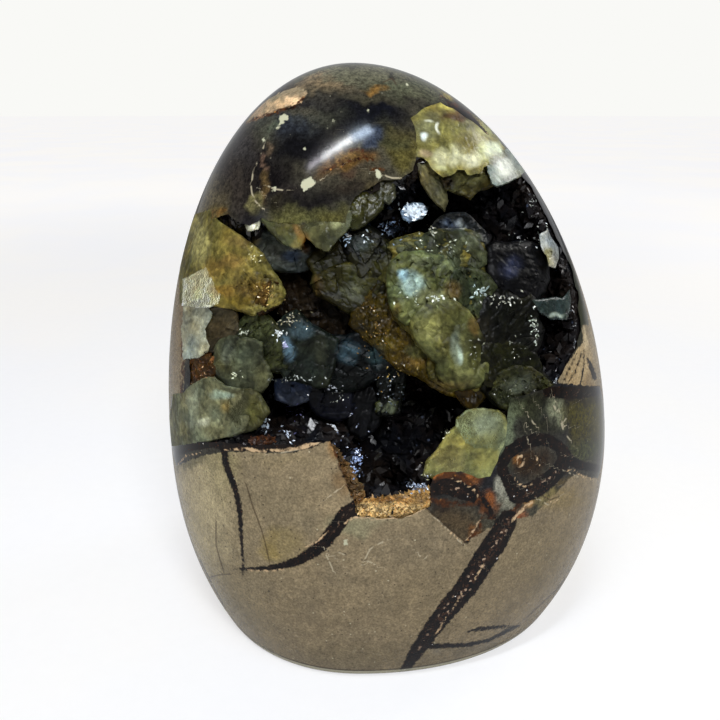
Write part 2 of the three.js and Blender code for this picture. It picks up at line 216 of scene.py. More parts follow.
# Soft clouds of colour: across, down, half widths, red, green, blue, strength.
# Among the clouds of the polished calcite, the pale grey-olive along the top of the dome and the
# brownish grey on its left are partly its tone and partly painted reflections of the bright room.
# The blue haze beside the window streak is a painted reflection.
CALCITE_CLOUDS_AND_SHEEN = drawn(
    "350,72,75,12,84,82,64,.9 415,90,40,13,72,72,54,.8 318,84,34,8,108,92,68,.8"
    " 372,112,50,20,6,7,14,.95 292,126,34,18,36,40,46,.9 262,130,16,20,62,62,50,.8"
    " 300,152,40,17,6,6,10,.95 240,165,22,60,46,40,34,.85 212,200,18,40,76,68,50,.9"
    " 388,130,18,14,36,36,28,.8 402,150,18,26,66,60,30,.9 350,160,26,9,88,64,28,.95"
    " 326,170,16,8,74,54,28,.9 310,198,46,12,24,22,18,.9 320,216,40,9,66,65,38,.9"
    " 284,218,18,9,78,74,44,.8 372,140,12,10,34,44,62,.8 280,203,16,12,44,40,24,.8"
    " 368,88,12,5,70,54,30,.7 352,186,26,10,30,24,18,.8 232,118,14,16,84,78,60,.6"
    " 524,408,30,16,44,46,28,.9 588,415,22,32,62,56,12,.95 560,412,9,14,92,90,60,.8"
    " 508,436,11,36,92,100,76,.9 540,428,20,10,32,32,18,.9 590,448,20,12,54,56,30,.9"
    " 504,500,9,30,112,110,94,.95 502,486,5,12,132,130,116,.8 440,473,14,5,132,80,32,.9"
    " 468,480,10,7,124,72,28,.9 488,500,8,10,112,62,24,.9 532,504,9,6,156,116,66,.9"
    " 517,517,8,6,142,84,50,.9 552,492,10,7,108,96,58,.9 545,500,10,6,124,112,74,.8"
    " 566,480,10,6,84,70,40,.9 430,496,6,10,36,22,12,.9 517,408,12,12,66,70,50,.8"
    " 556,410,7,16,104,106,84,.8 538,402,14,10,30,30,20,.8 178,418,14,26,136,140,114,.9"
    " 182,446,16,8,34,34,24,.9 530,462,26,15,38,24,8,1 519,461,4,4,118,76,32,.9"
    " 455,522,28,20,66,54,36,1 474,532,9,8,112,66,22,.8 440,512,10,6,34,24,16,.8"
    " 495,128,60,40,44,40,24,.8 450,92,12,7,116,102,40,.9 500,150,30,20,80,78,50,.8"
    " 583,290,14,60,36,40,18,.8 206,236,24,24,98,84,38,.9 572,398,30,8,24,16,10,.8"
    " 362,153,12,6,30,22,12,.7 336,156,8,5,24,18,12,.6 340,124,34,14,8,8,12,.8"
    " 316,142,30,16,6,6,9,.8 262,176,22,26,14,11,12,.85 282,176,20,14,12,9,10,.8"
    " 243,150,12,22,42,40,40,.7 226,176,12,30,38,33,30,.7 318,118,30,12,52,52,42,.7"
    " 300,112,16,8,66,62,50,.7 348,153,16,6,98,74,36,.9 332,163,12,5,86,64,38,.9"
    " 322,169,8,4,100,76,50,.8 366,158,10,6,74,50,24,.8 354,172,14,6,46,30,20,.8"
    " 370,176,12,9,58,52,38,.8 372,192,10,10,62,54,34,.8 300,212,40,5,62,60,36,.8"
    " 288,220,22,7,78,76,42,.9 334,216,22,6,70,66,34,.9 308,201,34,8,20,18,18,.8"
    " 290,190,18,9,30,26,24,.7 402,160,14,16,72,66,32,.8 396,142,16,8,54,54,34,.7"
    " 262,186,5,18,92,74,44,.7 256,203,6,12,104,98,62,.7 266,150,4,8,84,70,54,.7"
    " 260,163,3,8,112,88,72,.7 246,116,8,6,76,72,56,.7 272,128,12,6,70,76,62,.7"
    " 232,134,8,16,66,66,54,.6 208,216,20,7,76,66,38,.9 220,218,8,4,100,72,34,.8"
    " 395,86,40,8,72,74,56,.7 330,90,30,6,74,66,50,.7 370,98,26,6,58,54,40,.7"
    " 392,76,4,3,12,12,8,.8 375,90,16,3,110,78,32,.7")
# Among the clouds of the limestone, the large light cloud low on the left is painted light from the
# left side, and a band along the bottom makes it darker towards the bottom.
LIMESTONE_CLOUDS_AND_LIGHT = drawn(
    "215,470,22,40,126,122,86,.6 196,520,36,80,168,160,132,.9 285,545,22,18,124,114,74,.5"
    " 350,526,26,12,124,128,104,.6 296,100,14,7,226,196,158,.9 280,106,14,5,206,176,138,.8"
    " 276,100,14,6,120,112,88,.8 262,114,14,5,168,142,116,.8 334,446,8,12,138,104,60,.8"
    " 344,482,10,18,118,96,66,.7 280,460,40,8,132,122,96,.5 280,500,30,26,116,108,88,.6"
    " 308,520,16,14,112,106,88,.5 270,548,12,12,138,124,74,.6 575,374,9,10,146,112,66,.8"
    " 590,378,7,10,92,70,42,.8 578,352,6,9,196,182,150,.8 584,340,4,10,206,194,164,.7"
    " 470,648,34,6,96,92,80,.6 436,652,10,6,130,128,120,.5 378,523,20,6,136,132,110,.6"
    " 440,600,60,50,118,108,86,.4 540,560,50,40,122,112,88,.5 580,365,20,26,160,144,112,.9"
    " 176,330,14,80,122,108,86,.7 360,660,120,18,108,100,80,.6 560,500,24,14,132,118,80,.6"
    " 190,462,26,8,92,90,70,.8")


def srgb(*parts):
    """A colour as it looks on screen (0 to 255), for a shader or a vertex."""
    shares = [float(part) / 255 for part in parts]
    return (*[share / 12.92 if share <= 0.04045 else ((share + 0.055) / 1.055) ** 2.4
              for share in shares], 1.0)


# ---------------------------------------------------------------- shape functions
def side_reach(side, z):
    reach, widest, dome, foot = SIDES[side]
    rise = np.clip((z - widest) / (HEIGHT - widest), 0, 1)
    drop = np.clip((widest - z) / foot, 0, 1)
    return reach * np.sqrt(np.clip(1 - rise**dome - drop**FOOT_POWER, 0, 1))


def ridge_x(z):
    rise = np.maximum(z - LEAN_START, 0) / (HEIGHT - LEAN_START)
    return RIDGE_X + RIDGE_LEAN * rise**2


def gauge(points):
    """1 on the polished face, less inside the egg and more outside it."""
    x, y, z = points[..., 0], points[..., 1], points[..., 2]
    across, along = x - ridge_x(z), y - RIDGE_Y
    wide = np.where(across > 0, side_reach("right", z), side_reach("left", z))
    deep = np.where(along > 0, side_reach("back", z), side_reach("front", z))
    share = (np.abs(across) / np.maximum(wide, 1e-3)) ** SECTION_POWER
    share = share + (np.abs(along) / np.maximum(deep, 1e-3)) ** SECTION_POWER
    share = share ** (1 / SECTION_POWER)
    return np.where((z < 0) | (z > HEIGHT), OUTSIDE, share)


def face_normals(points):
    """Outward normals of the egg at points near its face."""
    step = 0.02
    parts = []
    for axis in np.eye(3) * step:
        parts.append(gauge_open(points + axis) - gauge_open(points - axis))
    normals = np.stack(parts, -1)
    return normals / np.maximum(np.linalg.norm(normals, axis=-1, keepdims=True), 1e-9)


def gauge_open(points):
    """The gauge with its height held just inside the egg, for slopes at the ends."""
    held = points.copy()
    held[..., 2] = np.clip(held[..., 2], 0.01, HEIGHT - 0.01)
    return gauge(held) ** SECTION_POWER


def rays_through(spots):
    spots = np.asarray(spots, float)
    return (
        (spots[:, :1] - FRAME_SIZE / 2) / FOCAL * RIGHT
        + (FRAME_SIZE / 2 - spots[:, 1:2]) / FOCAL * UP
        + LOOK
    )


def seen_at(points):
    """Where points of the stone stand in the camera's frame."""
    offset = points - CAMERA_AT
    depth = offset @ LOOK
    across = FRAME_SIZE / 2 + FOCAL * (offset @ RIGHT) / depth
    down = FRAME_SIZE / 2 - FOCAL * (offset @ UP) / depth
    return np.stack([across, down], -1)


DEPTH_STEP = 2.5
DEPTHS = np.arange(95.0, 225.0, DEPTH_STEP)
RAYS_AT_ONCE = 4000


def face_depth(spots):
    """Depths at which rays enter and leave the egg; both are nan where a ray misses it."""
    rays = rays_through(spots)
    enter, leave = np.full((2, len(rays)), np.nan)
    for start in range(0, len(rays), RAYS_AT_ONCE):
        part = slice(start, start + RAYS_AT_ONCE)
        inside = gauge(CAMERA_AT + DEPTHS[None, :, None] * rays[part, None, :]) < 1
        hit = inside.any(1)
        enter[part] = np.where(hit, DEPTHS[inside.argmax(1)], np.nan)
        leave[part] = np.where(hit, DEPTHS[::-1][inside[:, ::-1].argmax(1)], np.nan)
    low, high = enter - DEPTH_STEP, enter.copy()
    for _ in range(16):
        middle = (low + high) / 2
        inside = gauge(CAMERA_AT + middle[:, None] * rays) < 1
        high = np.where(inside, middle, high)
        low = np.where(inside, low, middle)
    return high, leave


def meet_stone(spots, sink):
    """Points on the camera's rays that lie sink millimetres behind the polished face."""
    rays = rays_through(spots)
    enter, _leave = face_depth(spots)
    length = np.linalg.norm(rays, axis=1)
    return CAMERA_AT + rays * (enter + np.asarray(sink) / length)[:, None]


def pulled_in(spots, middle):
    """Drawn spots; those whose rays miss the egg are moved in towards the middle."""
    spots = spots.copy()
    missed = np.flatnonzero(np.isnan(face_depth(spots)[0]))
    away = spots[missed] - middle
    low, high = np.zeros(len(missed)), np.ones(len(missed))
    for _ in range(12):
        share = (low + high) / 2
        met = np.isfinite(face_depth(middle + away * share[:, None])[0])
        low, high = np.where(met, share, low), np.where(met, high, share)
    spots[missed] = middle + away * low[:, None]
    return spots


def edge_distance(spots, outline):
    """Signed distance to a closed outline, positive inside."""
    nearest = np.full(len(spots), 1e9)
    inside = np.zeros(len(spots), bool)
    for a, b in zip(outline, np.roll(outline, -1, 0)):
        run = b - a
        along = np.clip(((spots - a) @ run) / max(run @ run, 1e-9), 0, 1)
        nearest = np.minimum(nearest, np.linalg.norm(spots - a - along[:, None] * run, axis=1))
        crosses = (a[1] > spots[:, 1]) != (b[1] > spots[:, 1])
        rise = b[1] - a[1] if b[1] != a[1] else 1e-9
        inside ^= crosses & (spots[:, 0] < a[0] + run[0] * (spots[:, 1] - a[1]) / rise)
    return np.where(inside, nearest, -nearest)


def line_distance(spots, points):
    """Distance to an open line, the share of its width there and the side of it (1 or -1)."""
    nearest = np.full(len(spots), 1e9)
    share = np.ones(len(spots))
    side = np.ones(len(spots))
    for a, b in zip(points[:-1], points[1:]):
        run = (b - a)[:2]
        offset = spots - a[:2]
        along = np.clip((offset @ run) / (run @ run), 0, 1)
        away = np.linalg.norm(offset - along[:, None] * run, axis=1)
        closer = away < nearest
        crossed = np.sign(run[0] * offset[:, 1] - run[1] * offset[:, 0])
        side = np.where(closer, crossed, side)
        if len(a) > 2:
            share = np.where(closer, a[2] + along * (b[2] - a[2]), share)
        nearest = np.where(closer, away, nearest)
    return nearest, share, side


HASH_PRIMES = (73856093, 19349663, 83492791)
HASH_TURN, HASH_MOST = 1274126177, 0x7FFFFFFF


def value_noise(points, size, seed):
    """Smooth repeatable noise between -1 and 1 whose lumps are about size across."""
    place = points / size + 19.7 * seed + 100.0
    cell = np.floor(place).astype(np.int64)
    part = place - cell
    part = part * part * (3 - 2 * part)
    total = np.zeros(len(points))
    for corner in np.ndindex(2, 2, 2):
        x, y, z = ((cell + np.array(corner)) * HASH_PRIMES).T
        mixed = x ^ y ^ z
        mixed = ((mixed ^ (mixed >> 13)) * HASH_TURN) & HASH_MOST
        weight = np.prod(np.where(np.array(corner), part, 1 - part), axis=1)
        total += weight * (mixed / HASH_MOST)
    return total * 2 - 1


def noise_ways(points, size, seed, count=2):
    """Several noises side by side, to push points about with."""
    return np.stack([value_noise(points, size, seed + k) for k in range(count)], -1)


def sheet(spots):
    """Drawn spots as points of a flat sheet, for noise."""
    return np.c_[spots, np.zeros(len(spots))]


def ring_numbers(count):
    """The numbers round a closed ring, and the number after each."""
    here = np.arange(count)
    return here, (here + 1) % count


def unit(vectors):
    return vectors / np.linalg.norm(vectors, axis=-1, keepdims=True)


def smooth_step(low, high, value):
    share = np.clip((value - low) / (high - low), 0, 1)
    return share * share * (3 - 2 * share)


# ---------------------------------------------------------------- meshes from arrays
def mesh_from(name, points, faces, smooth=False):
    """An object in the scene from points in millimetres and triangles."""
    mesh = bpy.data.meshes.new(name)
    faces = np.asarray(faces, np.int32)
    mesh.vertices.add(len(points))
    mesh.vertices.foreach_set("co", (np.asarray(points) * MM).astype(np.float32).ravel())
    mesh.loops.add(faces.size)
    mesh.loops.foreach_set("vertex_index", faces.ravel())
    mesh.polygons.add(len(faces))
    mesh.polygons.foreach_set("loop_start", np.arange(0, faces.size, 3, dtype=np.int32))
    mesh.update(calc_edges=True)
    mesh.validate()
    mesh.polygons.foreach_set("use_smooth", np.full(len(mesh.polygons), smooth))
    made = bpy.data.objects.new(name, mesh)
    bpy.context.scene.collection.objects.link(made)
    return made


def mesh_points(mesh):
    points = np.empty(len(mesh.vertices) * 3, np.float32)
    mesh.vertices.foreach_get("co", points)
    return points.reshape(-1, 3).astype(float) / MM


def mesh_triangles(mesh):
    faces = np.empty(len(mesh.loops), np.int32)
    mesh.loops.foreach_get("vertex_index", faces)
    return faces.reshape(-1, 3)


def store(mesh, name, values):
    """Keeps a number or a colour for each point of a mesh."""
    kind, field = ("FLOAT", "value") if values.ndim == 1 else ("FLOAT_COLOR", "color")
    layer = mesh.attributes.new(name, kind, "POINT")
    layer.data.foreach_set(field, values.astype(np.float32).ravel())


def put_in_place(piece, node):
    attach(piece, "root")
    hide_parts(node)


# ---------------------------------------------------------------- the stone body
FRONT_COLUMNS, BACK_COLUMNS = 270, 100
LOW_RINGS, HIGH_RINGS = 62, 164
DOME_START = 35.0
BEVEL_RINGS = (0.0, 0.12, 0.38, 0.75)


def egg_shell():
    """Points and triangles of the whole egg, finest over its front."""
    front = np.linspace(math.pi, 2 * math.pi, FRONT_COLUMNS + 1)[:-1]
    back = np.linspace(0, math.pi, BACK_COLUMNS + 1)[:-1]
    turns = np.concatenate([front, back])
    foot = np.array(BEVEL_RINGS) * BASE_BEVEL
    low = np.linspace(1.2, DOME_START, LOW_RINGS)
    swing = np.linspace(0.02, math.pi / 2, HIGH_RINGS + 1)[:-1]
    high = DOME_START + (HEIGHT - DOME_START) * np.sin(swing) ** (2 / 1.85)
    heights = np.concatenate([foot, low, high[high > DOME_START + 0.3]])
    cosine, sine = np.cos(turns), np.sin(turns)
    across = np.sign(cosine) * np.abs(cosine) ** (2 / SECTION_POWER)
    along = np.sign(sine) * np.abs(sine) ** (2 / SECTION_POWER)
    rings = []
    for z in heights:
        wide = np.where(cosine > 0, side_reach("right", z), side_reach("left", z))
        deep = np.where(sine > 0, side_reach("back", z), side_reach("front", z))
        if z < BASE_BEVEL:
            drop = 1 - z / BASE_BEVEL
            wide, deep = wide - BASE_BEVEL * drop**2, deep - BASE_BEVEL * drop**2
        wide, deep = wide * (1 - SKIN), deep * (1 - SKIN)
        ring = [ridge_x(z) + across * wide, RIDGE_Y + along * deep, np.full(len(turns), z)]
        rings.append(np.stack(ring, -1))
    middle = np.array((RIDGE_X, RIDGE_Y, 0.0))
    base = [middle + (rings[0] - middle) * share for share in np.linspace(0.05, 0.96, 14)]
    rings = base + rings
    count = len(turns)
    points = np.concatenate(rings + [[middle], [(ridge_x(HEIGHT), RIDGE_Y, HEIGHT)]])
    here, after = ring_numbers(count)
    faces = []
    for a in range(0, (len(rings) - 1) * count, count):
        b = a + count
        faces.append(np.stack([a + here, a + after, b + after], -1))
        faces.append(np.stack([a + here, b + after, b + here], -1))
    faces.append(np.stack([np.full(count, len(points) - 2), after, here], -1))
    faces.append(np.stack([np.full(count, len(points) - 1), b + here, b + after], -1))
    return points, np.concatenate(faces)


def even_outline(outline, spacing, stray, seed):
    """The outline with points every few pixels, strayed a little so that it looks broken."""
    run = np.roll(outline, -1, 0) - outline
    out = []
    for start, step in zip(outline, run):
        count = max(int(round(np.linalg.norm(step) / spacing)), 1)
        for k in range(count):
            out.append(start + step * k / count)
    flat = sheet(out)
    fine, coarse = noise_ways(flat, 5, seed), noise_ways(flat, 13, seed + 2)
    return flat[:, :2] + stray * (0.6 * fine + 0.7 * coarse)


def fill_outline(outline, spacing, seed):
    """Triangles over an outline, with inner points: (spots, triangles, outline point count)."""
    low, high = outline.min(0), outline.max(0)
    across, down = np.meshgrid(
        np.arange(low[0], high[0], spacing), np.arange(low[1], high[1], spacing * 0.87)
    )
    across = across + (np.arange(across.shape[0]) % 2)[:, None] * spacing / 2
    inner = np.stack([across.ravel(), down.ravel()], -1)
    inner = inner + np.random.default_rng(seed).uniform(-0.2, 0.2, inner.shape) * spacing
    inner = inner[edge_distance(inner, outline) > spacing * 0.55]
    count = len(outline)
    edges = [(k, (k + 1) % count) for k in range(count)]
    spots = [Vector(p) for p in outline] + [Vector(p) for p in inner]
    made = geometry.delaunay_2d_cdt(spots, edges, [], 0, 1e-4)
    out = np.array([(p.x, p.y) for p in made[0]])
    faces = np.array(made[2])
    middles = out[faces].mean(1)
    faces = faces[edge_distance(middles, outline) > 0]
    a, b, c = (out[faces[:, k]] for k in range(3))
    turned = (b[:, 0] - a[:, 0]) * (c[:, 1] - a[:, 1]) < (b[:, 1] - a[:, 1]) * (c[:, 0] - a[:, 0])
    faces[turned] = faces[turned][:, ::-1]
    return out, faces, count


def closed_between(spots, faces, count, near, far):
    """A closed solid between two sheets of the same triangles, near and far from the camera.

    Across-down triangles wind so that they face away from the camera once they are laid
    on the stone, so the near sheet is turned round.
    """
    total = len(spots)
    edge, after = ring_numbers(count)
    outline = spots[:count]
    rolled = np.roll(outline, -1, 0)
    area = np.sum(outline[:, 0] * rolled[:, 1] - rolled[:, 0] * outline[:, 1])
    wall = np.concatenate([
        np.stack([edge, after, after + total], -1),
        np.stack([edge, after + total, edge + total], -1),
    ])
    if area < 0:
        wall = wall[:, ::-1]
    return np.concatenate([near, far]), np.concatenate([faces[:, ::-1], faces + total, wall])


# Where the hollow is shallow: the deepest that it is there, in millimetres, and the outline.
SHALLOW_ZONES = strokes(
    (3.0, "352,486 372,492 400,492 431,484 434,520 350,524"),
    (7.0, "186,424 262,436 335,436 335,450 186,448"),
    (6.0, "425,455 470,460 505,460 495,485 425,485"),
)


RIM_DEPTH = 2.2


def hollow_rim():
    return even_outline(POCKET_RIM, 3.2, 1.7, 11)


def pocket_depth(spots, rim, deepest):
    """How far the hollow's floor lies behind the polished face, before the crystals."""
    edge = edge_distance(spots, rim)
    enter, leave = face_depth(spots)
    depth = RIM_DEPTH + (deepest - RIM_DEPTH) * smooth_step(-2, 42, edge)
    depth = depth * (1 + 0.16 * value_noise(sheet(spots), 22, 3) * smooth_step(0, 20, edge))
    for most, outline in SHALLOW_ZONES:
        within = smooth_step(-6, 3, edge_distance(spots, outline))
        depth = np.where(depth > most, depth + (most - depth) * within, depth)
    return np.minimum(depth, 0.42 * (leave - enter))


def carve_hollow(body, deepest):
    """Cuts the hollow out of the egg along the camera's rays."""
    rim = hollow_rim()
    spots, faces, count = fill_outline(rim, 5.0, 1)
    floor = meet_stone(spots, pocket_depth(spots, rim, deepest))
    lid = meet_stone(spots, np.full(len(spots), -6.0))
    points, faces = closed_between(spots, faces, count, lid, floor)
    cutter = mesh_from("hollow_cutter", points, faces)
    carve = body.modifiers.new("hollow", "BOOLEAN")
    carve.operation = "DIFFERENCE"
    carve.solver = "MANIFOLD"
    carve.object = cutter
    bpy.context.view_layer.update()
    carved = bpy.data.meshes.new_from_object(
        body.evaluated_get(bpy.context.evaluated_depsgraph_get())
    )
    body.modifiers.remove(carve)
    body.data = carved
    bpy.data.objects.remove(cutter)
    loose = bmesh.new()
    loose.from_mesh(carved)
    bmesh.ops.triangulate(loose, faces=loose.faces[:])
    loose.to_mesh(carved)
    loose.free()


def back_pattern(points):
    """Signed distances, in mm, inside the limestone cells and the brown seams of the back."""
    warp = 3.4 * noise_ways(points, 17, 40, 3) + 0.9 * noise_ways(points, 5, 50, 3)
    away = np.linalg.norm((points + warp)[:, None, :] - np.array(CELL_SEEDS, float), axis=2)
    order = np.sort(away, axis=1)
    seam = (order[:, 1] - order[:, 0]) / 2
    width = 0.75 + 1.1 * smooth_step(30, 100, points[:, 2]) + 0.5 * value_noise(points, 24, 60)
    cap = (points[:, 2] - BACK_CAP_HEIGHT) + 5 * value_noise(points, 20, 61)
    lime = np.minimum(seam - width, -cap)
    brown = np.where(cap > 2, -3.0, 0.55 - np.abs(seam - width - 0.25))
    return lime, brown, width - seam


def clouded(colour, spots, clouds, share, stray):
    """Lays soft irregular clouds of colour onto the colours of points."""
    strayed = spots + stray
    for across, down, wide, high, red, green, blue, strength in clouds:
        away = np.hypot((strayed[:, 0] - across) / wide, (strayed[:, 1] - down) / high)
        part = strength * share * smooth_step(1.3, 0.35, away)
        colour = colour + (np.array(srgb(red, green, blue)) - colour) * part[:, None]
    return colour


def mixed(first, second, share):
    first, second = np.array(srgb(*first)), np.array(srgb(*second))
    return first + (second - first) * share[:, None]


NOWHERE = -4.0
DARK_CALCITE, OLIVE_CALCITE = (22, 22, 26), (66, 62, 48)
LIMESTONE, LIMESTONE_SHADE, LIMESTONE_LIT_SIDE = (132, 121, 98), (118, 109, 90), (136, 130, 106)


def mark_stone(mesh):
    """Stores, for each point of the body, its colours and how far inside each zone it lies."""
    points = mesh_points(mesh)
    spots = seen_at(points)
    toward = CAMERA_AT - points
    scale = (points - CAMERA_AT) @ LOOK / FOCAL
    cosine = np.sum(face_normals(points) * toward, 1) / np.linalg.norm(toward, axis=1)
    front = smooth_step(0.02, 0.2, cosine)

    def zone(shapes):
        return np.max([edge_distance(spots, shape) for shape in shapes], axis=0) * scale

    def wide(lines):
        deep = np.full(len(points), -9.0)
        for width, line in lines:
            away, share, _side = line_distance(spots, line)
            deep = np.maximum(deep, width * share / 2 - away * scale)
        return deep

    def thin(lines):
        near = np.full(len(points), 9.0)
        for line in lines:
            away, _share, side = line_distance(spots, line)
            near = np.where(away * scale < np.abs(near), away * scale * side, near)
        return np.where(front > 0.3, near, 9.0)

    lime, brown, seam = back_pattern(points)
    for name, drawn_part, back_part in (
            ("lime", zone(LIMESTONE_ZONES), lime), ("chip", zone(PALE_CHIPS), NOWHERE),
            ("vein", wide(VEINS), seam - 0.3), ("brown", wide(BROWNS), brown),
            ("pale_rim", wide(PALE_RIMS), NOWHERE)):
        store(mesh, name, front * drawn_part + (1 - front) * back_part)
    store(mesh, "hair", thin(HAIRLINES))
    store(mesh, "pale_crack", thin(PALE_LINES))
    broad, middle = value_noise(points, 13, 21), value_noise(points, 4.5, 22)
    stray = 7 * noise_ways(points, 3.0, 23) + 3.5 * noise_ways(points, 1.0, 25)
    share = np.clip(0.5 + 0.6 * broad + 0.35 * middle, 0, 1)
    # The polished calcite's colours; their clouds hold painted reflections as well as the calcite's
    # tone.
    tone = mixed(DARK_CALCITE, OLIVE_CALCITE, share)
    store(mesh, "tone", clouded(tone, spots, CALCITE_CLOUDS_AND_SHEEN, front, stray))
    # Painted light: the limestone is made lighter and a little greener towards the left side, as if
    # lit from the left.
    side = smooth_step(-14, -42, points[:, 0])
    share = np.clip(0.45 + 0.5 * middle + 0.3 * broad, 0, 1)
    stone = mixed(LIMESTONE, LIMESTONE_SHADE, share)
    stone = stone + (np.array(srgb(*LIMESTONE_LIT_SIDE)) - stone) * 0.6 * side[:, None]
    store(mesh, "lime_tone", clouded(stone, spots, LIMESTONE_CLOUDS_AND_LIGHT, front, stray))


# ---------------------------------------------------------------- crystals
RHOMB_LEAN = 0.32


def random_turns(count, rng, base=None, stray=None):
    """Rotation matrices: any turn, or within stray radians of a shared base turn."""
    quats = unit(rng.normal(size=(count, 4)))
    if stray is not None:
        axes = unit(rng.normal(size=(count, 3)))
        half = rng.uniform(0, stray, count)[:, None] / 2
        quats = np.concatenate([np.cos(half), axes * np.sin(half)], 1)
    w, x, y, z = quats.T
    turns = np.stack([
        1 - 2 * (y * y + z * z), 2 * (x * y - w * z), 2 * (x * z + w * y),
        2 * (x * y + w * z), 1 - 2 * (x * x + z * z), 2 * (y * z - w * x),
        2 * (x * z - w * y), 2 * (y * z + w * x), 1 - 2 * (x * x + y * y),
    ], -1).reshape(-1, 3, 3)
    return turns if base is None else turns @ base


def rhomb_normals():
    """The three face normals of a leaned cube, and its eight corners."""
    lean = np.eye(3) + RHOMB_LEAN * (np.ones((3, 3)) - np.eye(3))
    corners = np.array(list(np.ndindex(2, 2, 2))) * 2 - 1
    corners = corners @ lean
    normals = np.linalg.inv(lean)
    return normals / np.linalg.norm(normals, axis=0), corners


RHOMB_FACES = [
    (0, 1, 3), (0, 3, 2), (4, 6, 7), (4, 7, 5), (0, 4, 5), (0, 5, 1),
    (2, 3, 7), (2, 7, 6), (0, 2, 6), (0, 6, 4), (1, 5, 7), (1, 7, 3),
]


Growth = namedtuple("Growth", "tint left right crown roll root layers outline")
MESH_SPACING = 1.05
SWELL = 3.2
LEAST_SINK = 0.06
BACK_SHARE = 0.82


def rhomb_relief(spots, facet, rng):
    """Crystal corners grown side by side over drawn spots, each about facet pixels across.

    Returns their height from 0 to about 1, a shade for each face, and how much of a ridge
    and of a seam each spot is.
    """
    low, high = spots.min(0) - facet, spots.max(0) + facet
    count = max(int(np.prod(high - low) / facet**2 * 1.7), 8)
    seeds = rng.uniform(low, high, (count, 2))
    half = facet * rng.uniform(0.45, 0.95, (count, 1))
    lift = rng.uniform(-0.7, 0.5, count)
    normals, _corners = rhomb_normals()
    turns = random_turns(count, rng, random_turns(1, rng)[0], 0.5)
    planes = normals.T @ turns.transpose(0, 2, 1)
    planes = planes * np.where(planes[:, :, 2:] < 0, -1.0, 1.0)
    slopes = planes[:, :, :2] / np.maximum(planes[:, :, 2:], 0.2)
    tops = 1 / np.maximum(planes[:, :, 2], 0.2)
    shades = rng.uniform(-1, 1, (count, 3))
    best, second = np.full(len(spots), -1.0), np.full(len(spots), -1.0)
    shade, ridge = np.zeros(len(spots)), np.full(len(spots), 9.0)
    for k in range(count):
        offset = (spots - seeds[k]) / half[k]
        near = np.flatnonzero(np.abs(offset).max(1) < 3)
        fall = offset[near] @ slopes[k].T
        upper = tops[k] - fall
        order = np.sort(upper, axis=1)
        level = order[:, 0] * 0.55 + lift[k]
        level = np.where(order[:, 0] > (-tops[k] - fall).max(1), level, -9.0)
        better = level > best[near]
        second[near] = np.where(better, best[near], np.maximum(second[near], level))
        won = near[better]
        best[won] = level[better]
        ridge[won] = (order[better, 1] - order[better, 0]) * half[k]
        shade[won] = shades[k, upper[better].argmin(1)]
    seam = smooth_step(1.4, 0.2, (best - second) * facet)
    return np.clip((best + 1) / 2.2, 0, 1.2), shade, smooth_step(1.5, 0.3, ridge), seam


def lobe_relief(spots, across, rng):
    """Round lobes grown side by side over drawn spots: the same four values."""
    low, high = spots.min(0), spots.max(0)
    count = max(int(np.prod(high - low) / across**2 * 2.6), 5)
    seeds = rng.uniform(low, high, (count, 2))
    radius = across * rng.uniform(0.5, 0.9, count)
    lift = rng.uniform(-0.25, 0.25, count)
    shades = rng.uniform(-1, 1, count)
    away = np.linalg.norm(spots[:, None, :] - seeds[None], axis=2) / radius
    level = np.where(away < 1, np.sqrt(np.maximum(1 - away**2, 0)) + lift, -0.25)
    order = np.sort(level, axis=1)
    seam = smooth_step(0.12, 0.0, order[:, -1] - order[:, -2])
    return np.clip(order[:, -1], 0, 1.3), shades[level.argmax(1)], np.zeros(len(spots)), seam


def evened(values, faces, passes):
    """Values at the points of a sheet, averaged with their neighbours."""
    pairs = np.concatenate([faces[:, [0, 1]], faces[:, [1, 2]], faces[:, [2, 0]]])
    pairs = np.concatenate([pairs, pairs[:, ::-1]])
    degree = np.maximum(np.bincount(pairs[:, 0], minlength=len(values)), 1)
    for _ in range(passes):
        around = np.bincount(pairs[:, 0], values[pairs[:, 1]], len(values)) / degree
        values = 0.5 * (values + around)
    return values


def grown_mass(growth, index):
    """One mass of calcite with a drawn outline, as (points, triangles, colours).

    Its front rolls back at the edges, carries lobes and rhomb corners, and is ground off
    flush where it reaches the polished face. Its back narrows into the stone.
    """
    rng = np.random.default_rng(700 + index)
    outline = even_outline(drawn(growth.outline), 1.6, 1.1, 30 + index)
    outline = outline + SWELL * unit(outline - outline.mean(0))
    spots, faces, count = fill_outline(outline, MESH_SPACING, index)
    edge = edge_distance(spots, outline)
    share = (spots[:, 0] - outline[:, 0].min()) / np.ptp(outline[:, 0])
    near_edge = np.clip(1 - edge / growth.roll, 0, 1)
    sink = growth.left + (growth.right - growth.left) * share
    sink = sink + growth.crown * (1 - np.sqrt(1 - near_edge**2))
    sink = sink + 0.3 * value_noise(sheet(spots), 14, index)
    light = np.zeros(len(spots))
    for facet, bite in growth.layers:
        relief = lobe_relief if facet < 0 else rhomb_relief
        height, shade, ridge, seam = relief(spots, abs(facet), rng)
        sink = sink + bite * (0.6 - evened(height, faces, 2 if facet < 0 else 0))
        strength = min(1.0, 0.4 + 0.06 * abs(facet))
        # Painted light: a lighter or darker shade for each face, painted highlights on the ridges
        # and high parts, and painted shade in the seams and low parts.
        light += strength * (0.24 * shade + 0.3 * ridge - 0.22 * seam) + 0.3 * (height - 0.6)
    ground = sink < LEAST_SINK
    sink = np.maximum(sink, LEAST_SINK)
    light = evened(light, faces, 1) * np.where(ground, 0.7, 1.0)
    middle = outline.mean(0)
    spots = pulled_in(spots, middle)
    near = meet_stone(spots, sink)
    narrowed = middle + (spots - middle) * BACK_SHARE
    enter, leave = face_depth(narrowed)
    far = meet_stone(narrowed, np.minimum(sink.max() + growth.root, 0.5 * (leave - enter)))
    points, faces = closed_between(spots, faces, count, near, far)
    colours = tint_points(points, growth.tint, index)
    # The painted light and shade are multiplied into the tint.
    colours[:, :3] *= np.clip(1 + 1.25 * np.tile(light, 2), 0.3, 2.2)[:, None]
    return points, faces, np.clip(colours, 0, 1)
